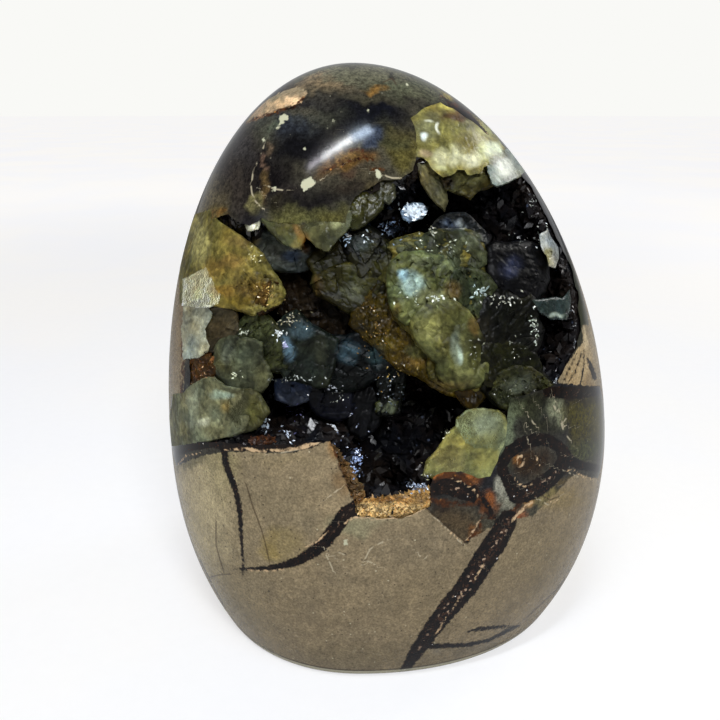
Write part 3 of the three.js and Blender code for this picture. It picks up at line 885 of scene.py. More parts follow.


# Stains and clouds in the crystals, as the clouds of the stone. Some of them are painted
# highlights and sheens: the blue-white patches on the green boss and the blue-grey masses,
# the bluish sheen on the dark mass at the right, the whitish highlights on the pale pillow at
# the lower left, the lit right end and bright facets of the pale crystal at the top, and the
# bright lower edge of the teal chip.
STAINS_AND_HIGHLIGHTS = drawn(
    "412,284,14,12,130,152,150,.6 438,262,26,10,84,92,66,.5 452,290,9,11,86,68,36,.6"
    " 474,325,6,10,84,62,28,.6 456,348,6,18,138,152,138,.6 430,330,18,16,116,114,66,.6"
    " 486,334,9,18,22,20,13,.9 448,386,26,5,96,82,46,.6 470,376,16,10,92,92,54,.5"
    " 404,310,8,14,92,94,56,.5 486,424,16,14,156,168,142,.6 450,462,18,12,132,122,72,.6"
    " 504,440,8,24,116,124,92,.8 500,488,8,12,110,112,86,.8 288,348,7,12,96,124,140,.7"
    " 303,330,14,8,56,72,78,.7 322,350,8,18,40,42,30,.7 276,346,8,14,62,68,40,.6"
    " 262,330,14,10,52,56,32,.6 348,352,10,12,44,62,70,.7 376,356,10,12,34,50,52,.6"
    " 290,254,10,7,70,84,106,.8 228,354,10,12,100,106,90,.6 246,368,12,10,84,88,66,.4"
    " 203,424,7,6,190,192,164,.7 226,408,6,8,104,86,42,.7 222,394,14,5,124,140,124,.7"
    " 256,412,10,14,76,74,34,.6 192,410,8,24,120,126,106,.7 200,244,12,24,128,122,76,.8"
    " 240,242,14,8,92,76,40,.7 214,268,12,12,134,110,50,.6 254,292,24,14,98,72,26,.6"
    " 236,270,14,14,116,98,44,.5 512,266,10,14,38,42,60,.8 520,384,20,10,62,66,54,.6"
    " 552,400,8,6,70,74,52,.6 352,292,14,10,82,84,60,.6 360,244,12,8,52,60,56,.6"
    " 388,262,6,12,44,44,26,.7 318,286,6,12,72,56,28,.6 300,222,6,16,82,66,34,.6"
    " 296,244,6,6,118,106,54,.7 336,222,10,6,154,156,112,.7 425,132,16,12,122,122,86,.7"
    " 440,158,10,10,190,188,150,.7 456,154,8,12,214,212,172,.8 468,136,14,10,122,116,68,.8"
    " 484,152,12,12,176,180,130,.7 504,168,12,12,206,208,192,.8 446,104,8,5,190,178,92,.8"
    " 462,113,12,5,84,56,22,.8 486,128,10,8,150,148,88,.7 434,116,12,7,104,100,70,.7"
    " 470,178,14,8,110,108,66,.6 394,312,5,14,70,54,18,.6 414,360,12,6,84,66,30,.6"
    " 388,408,8,4,84,90,70,.8 556,315,8,3,150,160,146,.7 550,256,4,8,130,124,70,.7"
    " 461,224,5,4,128,134,134,.7 450,224,12,6,60,70,84,.6 390,508,40,5,224,190,128,.7"
    " 385,500,30,4,132,84,36,.7 448,182,8,8,34,24,14,.8 305,244,6,10,104,70,26,.8"
    " 298,234,5,8,112,84,40,.8 424,138,5,4,226,236,230,.9 439,127,2,6,236,236,214,.9"
    " 429,124,6,2,214,214,190,.8 425,155,8,5,150,132,104,.8 440,168,9,5,176,176,130,.8"
    " 464,144,10,10,96,88,46,.8 472,160,12,8,206,204,172,.8 455,116,16,4,60,38,16,.9"
    " 448,101,6,3,196,180,66,.9 494,150,10,8,196,204,170,.8 240,226,12,8,52,44,24,.8"
    " 250,238,10,6,60,50,26,.7 194,226,8,14,116,108,62,.8 230,262,20,8,112,88,44,.6"
    " 222,290,16,8,120,92,34,.7 240,300,16,6,96,80,22,.7 262,270,10,10,84,78,34,.6"
    " 400,246,14,6,74,76,48,.7 470,238,10,8,80,84,60,.7 424,262,20,6,84,88,64,.6"
    " 420,350,14,8,88,88,50,.7 462,356,10,24,96,98,62,.6 432,300,20,12,120,122,84,.6"
    " 404,276,6,8,138,172,184,.7 458,354,3,10,160,176,160,.7")


def tint_points(points, tint, seed):
    """Colours of crystal points: a clouded tint with the stains and painted highlights that reach
    them.
    """
    colour = np.tile(np.array(srgb(*tint)), (len(points), 1))
    cloud = 0.5 * value_noise(points, 4.5, seed + 70) + 0.5 * value_noise(points, 1.9, seed + 71)
    fleck = value_noise(points, 0.8, seed + 74) + value_noise(points, 0.45, seed + 75)
    colour[:, :3] *= np.clip(1 + 0.75 * cloud + 0.22 * fleck, 0.25, 2)[:, None]
    warm = 0.14 * value_noise(points, 3.2, seed + 76)
    colour[:, 0] *= 1 + warm
    colour[:, 2] *= 1 - 1.6 * warm
    stray = 4 * noise_ways(points, 2.0, seed + 72)
    return np.clip(clouded(colour, seen_at(points), STAINS_AND_HIGHLIGHTS, 1.0, stray), 0, 1)


# Every mass: tint, how far behind the polish its left and right parts lie, how far its
# edges roll back and over how many pixels, how deep its root is, its layers of relief
# (a facet or, if negative, a lobe in pixels, and its height), and its outline. In millimetres.
def growths(*rows):
    return [Growth(*row) for row in rows]


GREEN_BOSS = growths(
    ((70, 65, 28), 2.0, 3.0, 1.4, 6, 8, ((-22, 0.9), (6, 1.0)),
     "390,244 398,240 408,237 420,235 429,237 433,232 443,232 452,231 464,231 473,234 476,241"
     " 482,245 485,253 487,260 482,268 488,273 495,281 498,286 492,293 495,302 488,318 481,326"
     " 478,345 487,354 489,366 487,379 484,387 473,391 458,392 449,389 439,382 430,376 427,366"
     " 428,353 418,343 412,332 403,326 395,318 391,302 388,285 379,281 386,269 393,264 395,257"
     " 390,250"),
    ((75, 80, 46), 1.0, 1.6, 1.1, 6, 6, ((-20, 0.7), (8, 0.8)),
     "393,262 404,254 420,252 438,256 448,264 454,276 452,292 444,306 434,318 420,324 406,322"
     " 396,314 391,300 389,284 390,270"),
    ((70, 70, 36), 0.4, 1.0, 1.2, 8, 6, ((-26, 0.8), (11, 0.9)),
     "412,318 424,306 440,300 456,304 468,314 476,328 484,342 489,358 487,374 478,384 462,388"
     " 448,384 436,374 438,362 428,352 418,342 412,330"),
    ((44, 48, 32), 1.8, 2.4, 1.0, 5, 6, ((-16, 0.8), (6, 1.0)),
     "396,241 410,237 424,237 434,233 450,232 466,232 476,242 484,252 484,264 472,272 456,270"
     " 440,262 424,258 408,258 398,252"),
    ((34, 38, 22), 1.6, 2.2, 1.0, 5, 6, ((-14, 0.6), (5, 1.1)),
     "452,272 466,268 480,272 490,278 497,286 492,293 495,302 488,318 478,326 466,320 456,308"
     " 450,292"),
    ((22, 24, 24), 3.6, 4.4, 0.6, 5, 5, ((-7, 1.6), (4, 1.2)),
     "432,228 443,218 452,215 464,215 472,221 482,231 486,241 481,250 468,246 452,244 436,242"),
)
GREEN_MIDDLE = growths(
    ((48, 52, 48), 4.6, 5.0, 1.1, 5, 7, ((15, 1.4), (5, 0.68)),
     "255,238 266,230 280,237 296,243 308,246 316,262 304,270 284,270 272,268 260,260 254,249"),
    ((20, 14, 7), 9.5, 9.0, 1.1, 6, 5, ((18, 1.8), (6, 0.85)),
     "266,258 316,256 326,286 352,304 364,322 352,342 316,340 296,324 276,312 264,292"),
    ((28, 26, 8), 4.0, 4.2, 1.4, 6, 8, ((18, 1.8), (6, 0.85)),
     "308,262 317,251 329,243 341,238 352,234 368,230 380,236 393,250 396,262 394,274 389,284"
     " 384,294 370,300 359,308 350,312 339,305 328,299 318,294 313,284 315,274"),
    ((9, 10, 6), 3.6, 4.4, 1.3, 6, 6, ((12, 1.5), (5, 1.02)),
     "341,236 356,231 369,228 384,238 394,250 398,262 390,272 372,270 358,262 346,252"),
    ((38, 36, 12), 3.2, 3.6, 1.1, 5, 6, ((20, 1.3), (6, 0.68)),
     "318,276 330,268 346,264 362,266 376,272 386,282 378,294 362,302 350,309 338,303 326,296"
     " 318,288"),
    ((32, 34, 16), 2.2, 2.8, 1.2, 5, 8, ((13, 1.4), (5, 1.02)),
     "230,333 238,324 248,316 258,311 268,316 275,325 284,336 293,348 293,362 284,372 272,370"
     " 264,360 258,350 246,342 236,340"),
    ((20, 24, 18), 2.6, 3.2, 1.2, 6, 8, ((26, 1.8), (6, 0.77)),
     "277,326 286,317 298,312 311,326 324,334 336,340 335,354 332,368 328,384 318,386 304,381"
     " 288,378 280,366 282,350 277,340"),
    ((4, 6, 6), 4.2, 5.2, 1.4, 7, 8, ((22, 1.9), (7, 1.02)),
     "322,338 334,336 346,338 358,331 373,330 382,344 391,356 393,368 376,378 361,387 346,390"
     " 329,388 320,380 324,364"),
    ((34, 40, 54), 5.4, 6.0, 0.7, 4, 6, ((12, 1.4),),
     "277,380 296,377 311,381 310,398 292,404 277,398"),
    ((9, 10, 16), 6.4, 7.0, 0.8, 4, 6, ((14, 1.6),),
     "312,384 330,386 350,390 356,410 338,420 318,414 308,400"),
    ((4, 4, 5), 7.0, 7.4, 0.8, 4, 6, ((12, 1.6),),
     "356,392 372,386 380,400 378,424 364,438 350,430 348,408"),
)
GREEN_SIDE = growths(
    ((56, 58, 40), 0.9, 1.6, 1.2, 5, 8, ((22, 1.6), (6, 0.85)),
     "217,346 221,340 228,337 238,338 246,339 254,341 261,344 261,352 262,360 268,366 270,375"
     " 266,383 261,390 253,391 246,391 238,388 231,385 224,380 219,377 215,366 216,356"),
    ((90, 90, 65), -0.4, 0.8, 1.3, 6, 8, ((28, 1.4), (7, 0.68)),
     "176,396 186,394 191,388 200,383 208,379 214,380 223,387 233,389 243,390 249,404 247,418"
     " 244,430 234,434 221,436 208,439 196,441 184,444 174,444 172,418"),
    ((60, 58, 34), 0.6, 1.2, 1.2, 5, 8, ((20, 1.3), (6, 0.68)),
     "229,388 243,390 250,391 256,393 260,399 264,405 267,412 263,417 260,423 254,427 247,429"
     " 238,432 231,428 227,410"),
    ((3, 3, 4), 2.2, 2.8, 1.8, 9, 8, ((30, 1.5), (6, 0.59)),
     "489,246 497,243 508,245 525,243 538,247 546,252 546,264 547,278 543,291 533,300 516,298"
     " 504,292 495,285 488,272 488,258"),
    ((7, 7, 3), 1.8, 1.6, 1.3, 6, 8, ((-20, 0.9), (9, 1.3)),
     "484,300 495,290 503,287 512,296 520,300 531,296 540,306 537,320 542,330 540,342 534,352"
     " 536,364 546,376 554,386 564,396 552,406 530,410 508,410 494,402 482,388 486,366 474,346"
     " 468,334 478,318"),
    ((32, 32, 14), 1.0, 1.0, 1.1, 5, 6, ((-14, 0.8), (5, 1.0)),
     "498,374 516,366 532,370 546,380 562,394 560,404 540,410 520,412 502,406 492,394"),
    ((46, 40, 26), 1.2, 1.6, 1.0, 4, 7, ((10, 1.3), (5, 0.85)),
     "206,313 220,300 230,304 236,316 236,332 225,341 214,350 204,348 199,334 202,322"),
    ((48, 44, 20), 1.8, 2.6, 1.0, 4, 7, ((12, 1.4), (5, 1.02)),
     "440,172 448,170 457,166 464,166 470,170 478,168 484,163 492,163 495,176 491,185 484,188"
     " 476,190 470,198 465,194 457,192 447,189"),
    ((80, 75, 48), 1.4, 2.8, 0.8, 3, 5, ((5, 1.1),),
     "416,158 422,160 431,161 435,168 441,178 444,188 447,199 443,209 436,202 429,192 424,183"
     " 419,172"),
    ((5, 7, 5), 4.8, 5.4, 0.8, 4, 7, ((5, 1.0),),
     "378,344 392,351 405,367 401,392 399,412 376,413 381,395 377,372"),
    ((12, 10, 6), 3.0, 2.8, 0.8, 4, 5, ((9, 1.2),),
     "474,312 484,306 496,308 506,318 508,332 502,346 490,350 480,342 474,330"),
    ((16, 16, 4), 1.4, 1.4, 1.0, 5, 6, ((24, 1.2), (6, 0.68)),
     "482,342 494,344 508,342 522,346 534,354 540,368 532,382 514,386 496,388 484,384 482,364"),
    ((96, 112, 128), 4.4, 4.0, 0.6, 3, 5, ((6, 1.3), (3, 0.6)),
     "403,212 407,207 414,205 421,206 424,211 420,217 411,219 405,218"),
)
HONEY_MASSES = growths(
    ((92, 84, 40), -1.4, 2.4, 1.4, 6, 8, ((24, 1.5), (7, 0.85)),
     "182,226 196,218 210,213 222,226 235,234 247,243 257,251 264,260 272,272 279,282 283,293"
     " 279,302 266,308 254,314 242,310 229,306 218,304 204,302 182,302 183,262"),
    ((28, 16, 3), 1.4, 2.2, 1.0, 5, 7, ((10, 1.2), (5, 1.02)),
     "238,284 252,278 264,276 276,283 283,293 278,304 264,311 254,315 244,308 236,296"),
    ((50, 40, 5), 3.4, 3.4, 1.2, 5, 8, ((7, 0.8), (3.4, 0.9)),
     "378,285 367,297 354,310 351,326 361,336 373,345 387,358 396,365 404,369 418,375 428,383"
     " 445,394 461,397 476,395 482,388 462,372 444,356 428,340 414,322 402,306 394,290 388,280"),
    ((48, 36, 9), 2.4, 2.6, 0.7, 4, 6, ((8, 1.1),),
     "456,391 470,387 488,386 482,398 473,407 465,404"),
    ((50, 32, 8), 0.8, 1.0, 0.8, 4, 6, ((5, 1.0),),
     "184,350 200,352 212,358 214,372 206,384 192,396 182,398 180,360"),
)
PALE_MASSES = growths(
    ((106, 98, 50), -0.6, -0.6, 1.2, 4, 5, ((13, 1.2), (5, 0.6)),
     "408,116 414,124 417,130 416,140 416,148 417,155 424,156 431,160 434,167 439,171 445,174"
     " 452,173 455,170 457,167 464,167 466,171 470,172 474,171 480,171 481,165 486,164 490,164"
     " 494,162 500,158 506,156 502,148 494,138 486,128 478,122 468,114 458,106 448,99 440,96"
     " 430,98 420,106"),
    ((110, 115, 100), 0.2, -0.3, 1.0, 3, 4, ((5, 0.9),),
     "489,167 490,160 500,154 508,150 516,157 524,170 519,175 508,180 498,185 493,182"),
    ((112, 110, 62), 0.4, -0.6, 2.0, 8, 7, ((-18, 0.8), (9, 1.1)),
     "426,476 428,462 437,452 445,443 449,435 459,427 458,420 468,413 483,411 498,413 504,419"
     " 509,430 510,446 508,460 510,476 512,488 508,502 494,502 486,490 472,478 456,476"
     " 437,478"),
    ((140, 145, 100), -0.2, -0.3, 1.6, 7, 6, ((-12, 0.8), (7, 0.8)),
     "458,427 458,420 468,413 483,411 498,413 503,424 502,440 494,450 480,448 468,442"),
    ((135, 130, 80), 0.5, 0.3, 1.4, 6, 6, ((12, 1.1), (5, 0.5)),
     "428,472 431,460 440,450 448,446 458,446 466,456 468,472 456,476 438,478"),
    ((60, 60, 32), 0.2, 0.8, 0.9, 3, 6, ((18, 1.2), (5, 0.3)),
     "262,214 272,208 290,206 308,210 308,226 304,236 300,249 292,247 284,242 278,236 270,229"
     " 265,222"),
    ((70, 70, 44), 0.1, 0.4, 0.9, 3, 6, ((18, 1.2), (5, 0.3)),
     "303,222 308,212 330,210 350,212 348,226 343,232 338,236 333,242 329,249 324,248 318,245"
     " 312,239 306,231"),
    ((48, 48, 20), 0.8, 1.4, 0.9, 4, 6, ((9, 0.9), (4, 0.4)),
     "343,204 350,192 365,190 378,186 386,194 380,209 369,219 360,227 353,228 346,222"),
    ((252, 246, 206), -0.2, 0.0, 0.6, 2.5, 5, ((11, 0.5),),
     "184,280 190,278 206,269 211,278 214,289 219,293 217,303 205,306 184,304"),
    ((135, 135, 115), -0.2, 0.1, 0.8, 3, 5, ((8, 0.8), (4, 0.3)),
     "184,306 197,304 206,309 210,315 208,322 203,329 203,336 207,344 206,350 199,355 184,357"),
    ((150, 150, 140), 0.3, 0.3, 0.6, 3, 4, ((5, 0.8),),
     "541,237 548,231 550,240 555,248 556,256 554,265 549,263 547,253 543,246"),
    ((32, 40, 36), 1.0, 0.8, 0.6, 3, 5, ((10, 0.6), (4, 0.3)),
     "534,300 548,301 560,300 568,292 568,304 565,318 552,317 542,311"),
    ((56, 56, 40), 1.2, 1.2, 0.6, 3, 4, ((6, 0.6),),
     "371,184 384,176 392,182 394,195 388,202 380,196"),
    ((245, 245, 215), 0.5, 0.6, 0.6, 3, 4, ((5, 0.5),), "245,214 251,208 258,218 257,227 249,228"),
    ((52, 56, 28), 4.8, 4.8, 0.6, 3, 4, ((6, 0.5),), "378,404 388,400 396,402 395,411 379,412"),
)

# The pieces of green calcite, with the number that the chance of their first mass comes
# from; the honey and pale masses have their own.
GREEN_PIECES = {
    "green_calcite_boss": (GREEN_BOSS, 0),
    "green_calcite_middle": (GREEN_MIDDLE, 6),
    "green_calcite_side": (GREEN_SIDE, 17),
}
FIRST_HONEY, FIRST_PALE = 30, 40

# Beds of loose rhombs: outline, count, least and most size in mm, least and most sink, tint.
CRUMB_BEDS = [(drawn(text), *rest) for text, *rest in (
    ("362,500 390,497 431,488 431,505 412,513 403,518 377,518 357,517", 1500, (.3, .7),
     (.15, 1.6), (176, 136, 78)),
    ("331,442 338,450 352,474 364,494 366,508 356,508 350,496 341,470", 420, (.3, .8),
     (.3, 2.0), (96, 70, 40)),
    ("250,441 258,437 276,438 274,445 252,446", 130, (.3, .7), (.5, 2.0), (60, 30, 12)),
    ("190,352 210,350 216,362 206,380 190,396", 160, (.4, 1.0), (.6, 2.2), (76, 46, 20)),
    ("432,478 446,471 462,471 478,478 478,486 434,490", 120, (.3, .9), (.8, 3.0), (50, 24, 12)),
)]

# Bright grains set on whatever the camera sees: across, down, half widths, count, size, tint.
GLINTS = drawn(
    "394,229,9,7,90,.45,120,142,172 414,211,8,5,150,.6,232,244,250"
    " 357,461,5,12,50,.45,140,160,200 418,487,13,5,50,.45,150,162,180"
    " 290,318,18,6,36,.35,150,142,112 300,378,26,3,30,.35,150,156,146"
    " 332,390,14,6,14,.35,150,154,160 266,423,4,7,12,.55,190,204,214"
    " 288,433,5,6,12,.5,190,200,214 298,412,10,8,26,.35,90,88,130 546,238,6,14,24,.4,170,174,164"
    " 522,240,20,6,16,.3,110,112,106 506,299,22,5,26,.45,140,140,124"
    " 534,328,4,14,30,.45,150,158,140 438,299,8,3,14,.5,220,226,204 447,367,4,4,12,.6,190,216,216"
    " 518,394,26,10,50,.35,100,102,82 348,240,5,5,14,.45,150,170,186"
    " 350,440,12,30,18,.3,130,140,170 530,200,6,14,16,.35,120,122,114"
    " 268,292,12,8,16,.4,206,170,96 205,372,8,12,12,.35,170,130,90 480,293,8,6,18,.5,140,156,148"
    " 430,232,8,5,16,.4,150,150,126 270,395,3,3,6,.55,190,200,210 388,392,10,14,34,.3,80,88,94"
    " 375,330,12,30,60,.3,122,90,34 250,216,8,6,12,.45,150,150,140 253,256,8,5,10,.4,190,184,140"
    " 280,333,7,4,14,.5,200,206,200 246,332,6,3,10,.4,180,184,160 285,346,3,4,8,.5,186,190,226"
    " 340,394,16,8,14,.3,140,144,130 366,240,6,6,10,.4,150,160,160 234,374,5,5,8,.45,180,184,150"
    " 476,352,8,16,14,.35,120,122,100 512,352,12,14,16,.35,96,98,84"
    " 445,247,20,8,22,.35,150,156,130 410,300,12,12,10,.4,180,190,160"
    " 432,470,8,10,12,.35,200,196,150 446,432,6,8,16,.4,206,206,176"
    " 400,372,16,8,16,.35,140,116,60")


def loose_rhombs(centres, sizes, turns):
    """Points and triangles of many small rhombs; those that reach the polish are left out."""
    _normals, corners = rhomb_normals()
    body = corners[None] * (sizes / 2)[:, None, None]
    points = np.einsum("nij,nkj->nki", turns, body) + centres[:, None, :]
    limit = gauge(points.reshape(-1, 3)).reshape(points.shape[:2]).max(1) < 0.9985
    points = points[limit]
    faces = np.array(RHOMB_FACES)[None] + 8 * np.arange(len(points))[:, None, None]
    return points.reshape(-1, 3), faces.reshape(-1, 3)


def spots_inside(outline, count, rng):
    low, high = outline.min(0), outline.max(0)
    spots = rng.uniform(low, high, (count * 4, 2))
    return spots[edge_distance(spots, outline) > 0][:count]


def crumb_bed(bed, index):
    outline, count, size, sink, tint = bed
    rng = np.random.default_rng(900 + index)
    spots = spots_inside(outline, count, rng)
    count = len(spots)
    sizes = rng.uniform(*size, count)
    sinks = rng.uniform(*sink, count)
    points, faces = loose_rhombs(meet_stone(spots, sinks), sizes, random_turns(count, rng))
    colours = tint_points(points, tint, index + 300)
    shade = np.repeat(rng.uniform(0.45, 1.5, len(points) // 8), 8)
    colours[:, :3] = np.clip(colours[:, :3] * shade[:, None], 0, 1)
    return points, faces, colours


WINDOW_WAY = np.array((0.24, -0.72, 0.65))
GLINT_STRAY = 0.22


def glint_grains():
    """Small bright rhombs on the nearest surface, each with a face turned to the window."""
    rng = np.random.default_rng(77)
    scene = bpy.context.scene
    depsgraph = bpy.context.evaluated_depsgraph_get()
    face_way = Vector(rhomb_normals()[0][:, 0])
    parts = []
    for across, down, wide, high, count, size, *tint in GLINTS:
        spots = rng.normal(size=(int(count), 2)) * (wide / 1.6, high / 1.6) + (across, down)
        centres, turns = [], []
        for ray in rays_through(spots):
            hit, place, *_rest = scene.ray_cast(
                depsgraph, Vector(CAMERA_AT * MM), Vector(ray).normalized())
            if not hit:
                continue
            place = np.array(place) / MM
            toward = (CAMERA_AT - place) / np.linalg.norm(CAMERA_AT - place)
            halfway = toward + WINDOW_WAY + rng.normal(size=3) * GLINT_STRAY
            turn = face_way.rotation_difference(Vector(halfway)).to_matrix()
            spin = np.array(Matrix.Rotation(rng.uniform(0, 6.28), 3, Vector(halfway)))
            centres.append(place)
            turns.append(spin @ np.array(turn))
        if centres:
            sizes = size * rng.uniform(0.35, 0.8, len(centres))
            points, faces = loose_rhombs(np.array(centres), sizes, np.array(turns))
            parts.append((points, faces, np.tile(np.array(srgb(*tint)), (len(points), 1))))
    return parts


def joined(name, parts, crease):
    """One object from several (points, triangles, colours), smooth up to its creases."""
    points, faces, colours, start = [], [], [], 0
    for part_points, part_faces, part_colours in parts:
        points.append(part_points)
        faces.append(part_faces + start)
        colours.append(part_colours)
        start += len(part_points)
    made = mesh_from(name, np.concatenate(points), np.concatenate(faces), crease is not None)
    if crease is not None:
        made.data.set_sharp_from_angle(angle=math.radians(crease))
    store(made.data, "tint", np.concatenate(colours))
    return made


def crystal_piece(name, parts, material, crease=None):
    """One piece of the crust, made of parts."""
    piece = joined(name, parts, crease)
    piece.data.materials.append(material)
    put_in_place(piece, "calcite_crust")


def grown_masses(masses, first):
    return [grown_mass(mass, first + k) for k, mass in enumerate(masses)]


DRUSE_BED = 0.9
DRUSE_SWELL = 1.2
DRUSE_TINT, DRUSE_CRYSTAL_TINT = (14, 14, 17), (13, 14, 18)


def druse_lining(deepest, count):
    """The bed of small dark crystals on the wall and floor of the hollow, and the crystals."""
    rim = hollow_rim()
    wide = rim + DRUSE_SWELL * unit(rim - rim.mean(0))
    spots, faces, outline_count = fill_outline(wide, 3.0, 2)
    depth = pocket_depth(spots, rim, deepest)
    flat = sheet(spots)
    rough = 0.5 * value_noise(flat, 5, 81) + 0.5 * value_noise(flat, 11, 82)
    near = meet_stone(spots, np.maximum(depth - DRUSE_BED + 0.7 * rough, 1.2))
    far = meet_stone(spots, depth + 0.5)
    points, faces = closed_between(spots, faces, outline_count, near, far)
    bed = (points, faces, tint_points(points, DRUSE_TINT, 400))
    rng = np.random.default_rng(21)
    places = spots_inside(rim, count, rng)
    depth = pocket_depth(places, rim, deepest)
    sizes = 0.35 + 1.5 * rng.uniform(0, 1, len(places)) ** 2.6
    sinks = np.maximum(depth - DRUSE_BED - sizes * rng.uniform(0.0, 0.35, len(places)), 1.3)
    turns = random_turns(len(places), rng)
    points, faces = loose_rhombs(meet_stone(places, sinks), sizes, turns)
    return [bed, (points, faces, tint_points(points, DRUSE_CRYSTAL_TINT, 401))]


# ---------------------------------------------------------------- shader helpers
class Tree:
    """A few short words for building node trees."""

    def __init__(self, tree):
        self.tree = tree
        self.count = 0

    def link(self, output, socket):
        self.tree.links.new(output, socket)

    def add(self, kind, inputs=None, **settings):
        """A node with its settings, whose sockets are set or linked by name or number."""
        node = self.tree.nodes.new(kind)
        node.location = (180 * (self.count % 12), -260 * (self.count // 12))
        self.count += 1
        for name, value in settings.items():
            setattr(node, name, value)
        for name, value in (inputs or {}).items():
            if isinstance(value, bpy.types.NodeSocket):
                self.link(value, node.inputs[name])
            else:
                node.inputs[name].default_value = value
        return node

    def group(self, build, inputs):
        return self.add("ShaderNodeGroup", inputs, node_tree=build()).outputs

    def mix(self, share, first, second, blend="MIX"):
        node = self.add("ShaderNodeMix", {0: share, 6: first, 7: second},
                        data_type="RGBA", blend_type=blend)
        return node.outputs[2]

    def math(self, operation, *values):
        node = self.add("ShaderNodeMath", dict(enumerate(values)), operation=operation)
        return node.outputs[0]

    def plus(self, first, second):
        return self.math("ADD", first, second)

    def minus(self, first, second):
        return self.math("SUBTRACT", first, second)

    def times(self, first, second):
        return self.math("MULTIPLY", first, second)

    def shaded(self, colour, shade):
        """A colour made lighter or darker by a number."""
        grey = self.add("ShaderNodeCombineColor", {0: shade, 1: shade, 2: shade}).outputs[0]
        return self.mix(1.0, colour, grey, "MULTIPLY")

    def ramp(self, value, low, high, to_low=0.0, to_high=1.0):
        node = self.add("ShaderNodeMapRange", {
            "Value": value, "From Min": low, "From Max": high, "To Min": to_low,
            "To Max": to_high}, interpolation_type="SMOOTHSTEP")
        return node.outputs[0]

    def noise(self, place, scale, detail=3.0, rough=0.55):
        node = self.add("ShaderNodeTexNoise", {
            "Vector": place, "Scale": scale, "Detail": detail, "Roughness": rough})
        return node.outputs["Fac"]

    def cells(self, place, scale):
        """Small cells: the distance from their middles, and two random numbers for each."""
        node = self.add("ShaderNodeTexVoronoi", {"Vector": place, "Scale": scale})
        parts = self.add("ShaderNodeSeparateColor", {0: node.outputs["Color"]}).outputs
        return node.outputs["Distance"], parts[0], parts[1]

    def dots(self, place, scale, share, size, size_within):
        """1 in small round dots in the middles of some of the cells."""
        away, chosen, _other = self.cells(place, scale)
        return self.times(self.ramp(away, size, size_within),
                          self.math("LESS_THAN", chosen, share))


FLOAT, COLOUR, VECTOR = "NodeSocketFloat", "NodeSocketColor", "NodeSocketVector"
PLACE = ("Place", VECTOR, None)


def shader_group(name, inputs, outputs):
    """An empty node group with named sockets: (tree, its inputs, its output sockets)."""
    group = bpy.data.node_groups.new(name, "ShaderNodeTree")
    for label, kind, default in inputs:
        socket = group.interface.new_socket(name=label, in_out="INPUT", socket_type=kind)
        if default is not None:
            socket.default_value = default
    for label, kind in outputs:
        group.interface.new_socket(name=label, in_out="OUTPUT", socket_type=kind)
    tree = Tree(group)
    return tree, tree.add("NodeGroupInput").outputs, tree.add("NodeGroupOutput").inputs


def ragged_edge_group():
    """Turns a stored distance, in mm, into a mask with a ragged natural edge."""
    if "Ragged edge" in bpy.data.node_groups:
        return bpy.data.node_groups["Ragged edge"]
    tree, given, out = shader_group(
        "Ragged edge",
        [PLACE, ("Distance", FLOAT, 0.0), ("Raggedness", FLOAT, 0.4),
         ("Grain", FLOAT, 900.0), ("Softness", FLOAT, 0.12)],
        [("Mask", FLOAT)])
    wobble = tree.noise(given["Place"], given["Grain"], 4.0, 0.6)
    wobble = tree.times(tree.minus(wobble, 0.5), given["Raggedness"])
    moved = tree.plus(given["Distance"], tree.times(wobble, 2.0))
    back = tree.times(given["Softness"], -1.0)
    tree.link(tree.ramp(moved, back, given["Softness"]), out["Mask"])
    return tree.tree


def clouded_mineral_group():
    """Two colours clouded into each other, with fine grain and scattered specks."""
    if "Clouded mineral" in bpy.data.node_groups:
        return bpy.data.node_groups["Clouded mineral"]
    tree, given, out = shader_group(
        "Clouded mineral",
        [PLACE, ("Colour", COLOUR, (0.2, 0.2, 0.2, 1)),
         ("Cloud colour", COLOUR, (0.1, 0.1, 0.1, 1)), ("Cloud scale", FLOAT, 60.0),
         ("Grain", FLOAT, 0.2), ("Grain scale", FLOAT, 900.0),
         ("Speck colour", COLOUR, (0.02, 0.02, 0.02, 1)), ("Speck scale", FLOAT, 500.0),
         ("Speck share", FLOAT, 0.1)],
        [("Colour", COLOUR), ("Height", FLOAT)])
    place = given["Place"]
    cloud = tree.ramp(tree.noise(place, given["Cloud scale"], 4.0, 0.6), 0.36, 0.66)
    colour = tree.mix(cloud, given["Colour"], given["Cloud colour"])
    fine = tree.noise(place, given["Grain scale"], 3.0, 0.65)
    swing = tree.times(tree.minus(fine, 0.5), given["Grain"])
    colour = tree.shaded(colour, tree.plus(tree.times(swing, 2.0), 1.0))
    specks = tree.dots(place, given["Speck scale"], given["Speck share"], 0.34, 0.12)
    tree.link(tree.mix(specks, colour, given["Speck colour"]), out["Colour"])
    tree.link(fine, out["Height"])
    return tree.tree


def polish_group():
    """Roughness and height of a hand-polished face, with faint rubbing marks and pits."""
    if "Hand polish" in bpy.data.node_groups:
        return bpy.data.node_groups["Hand polish"]
    tree, given, out = shader_group(
        "Hand polish",
        [PLACE, ("Roughness", FLOAT, 0.15), ("Rubbing", FLOAT, 0.1)],
        [("Roughness", FLOAT), ("Height", FLOAT)])
    place = given["Place"]
    broad = tree.noise(place, 55.0, 3.0, 0.6)
    rubbed = tree.noise(place, 600.0, 3.0, 0.7)
    both = tree.plus(tree.minus(broad, 0.5), tree.minus(rubbed, 0.5))
    level = tree.plus(given["Roughness"], tree.times(both, given["Rubbing"]))
    tree.link(tree.math("MAXIMUM", level, 0.03), out["Roughness"])
    tree.link(tree.plus(tree.times(rubbed, 0.3), tree.noise(place, 1400.0, 2.0)), out["Height"])
    return tree.tree


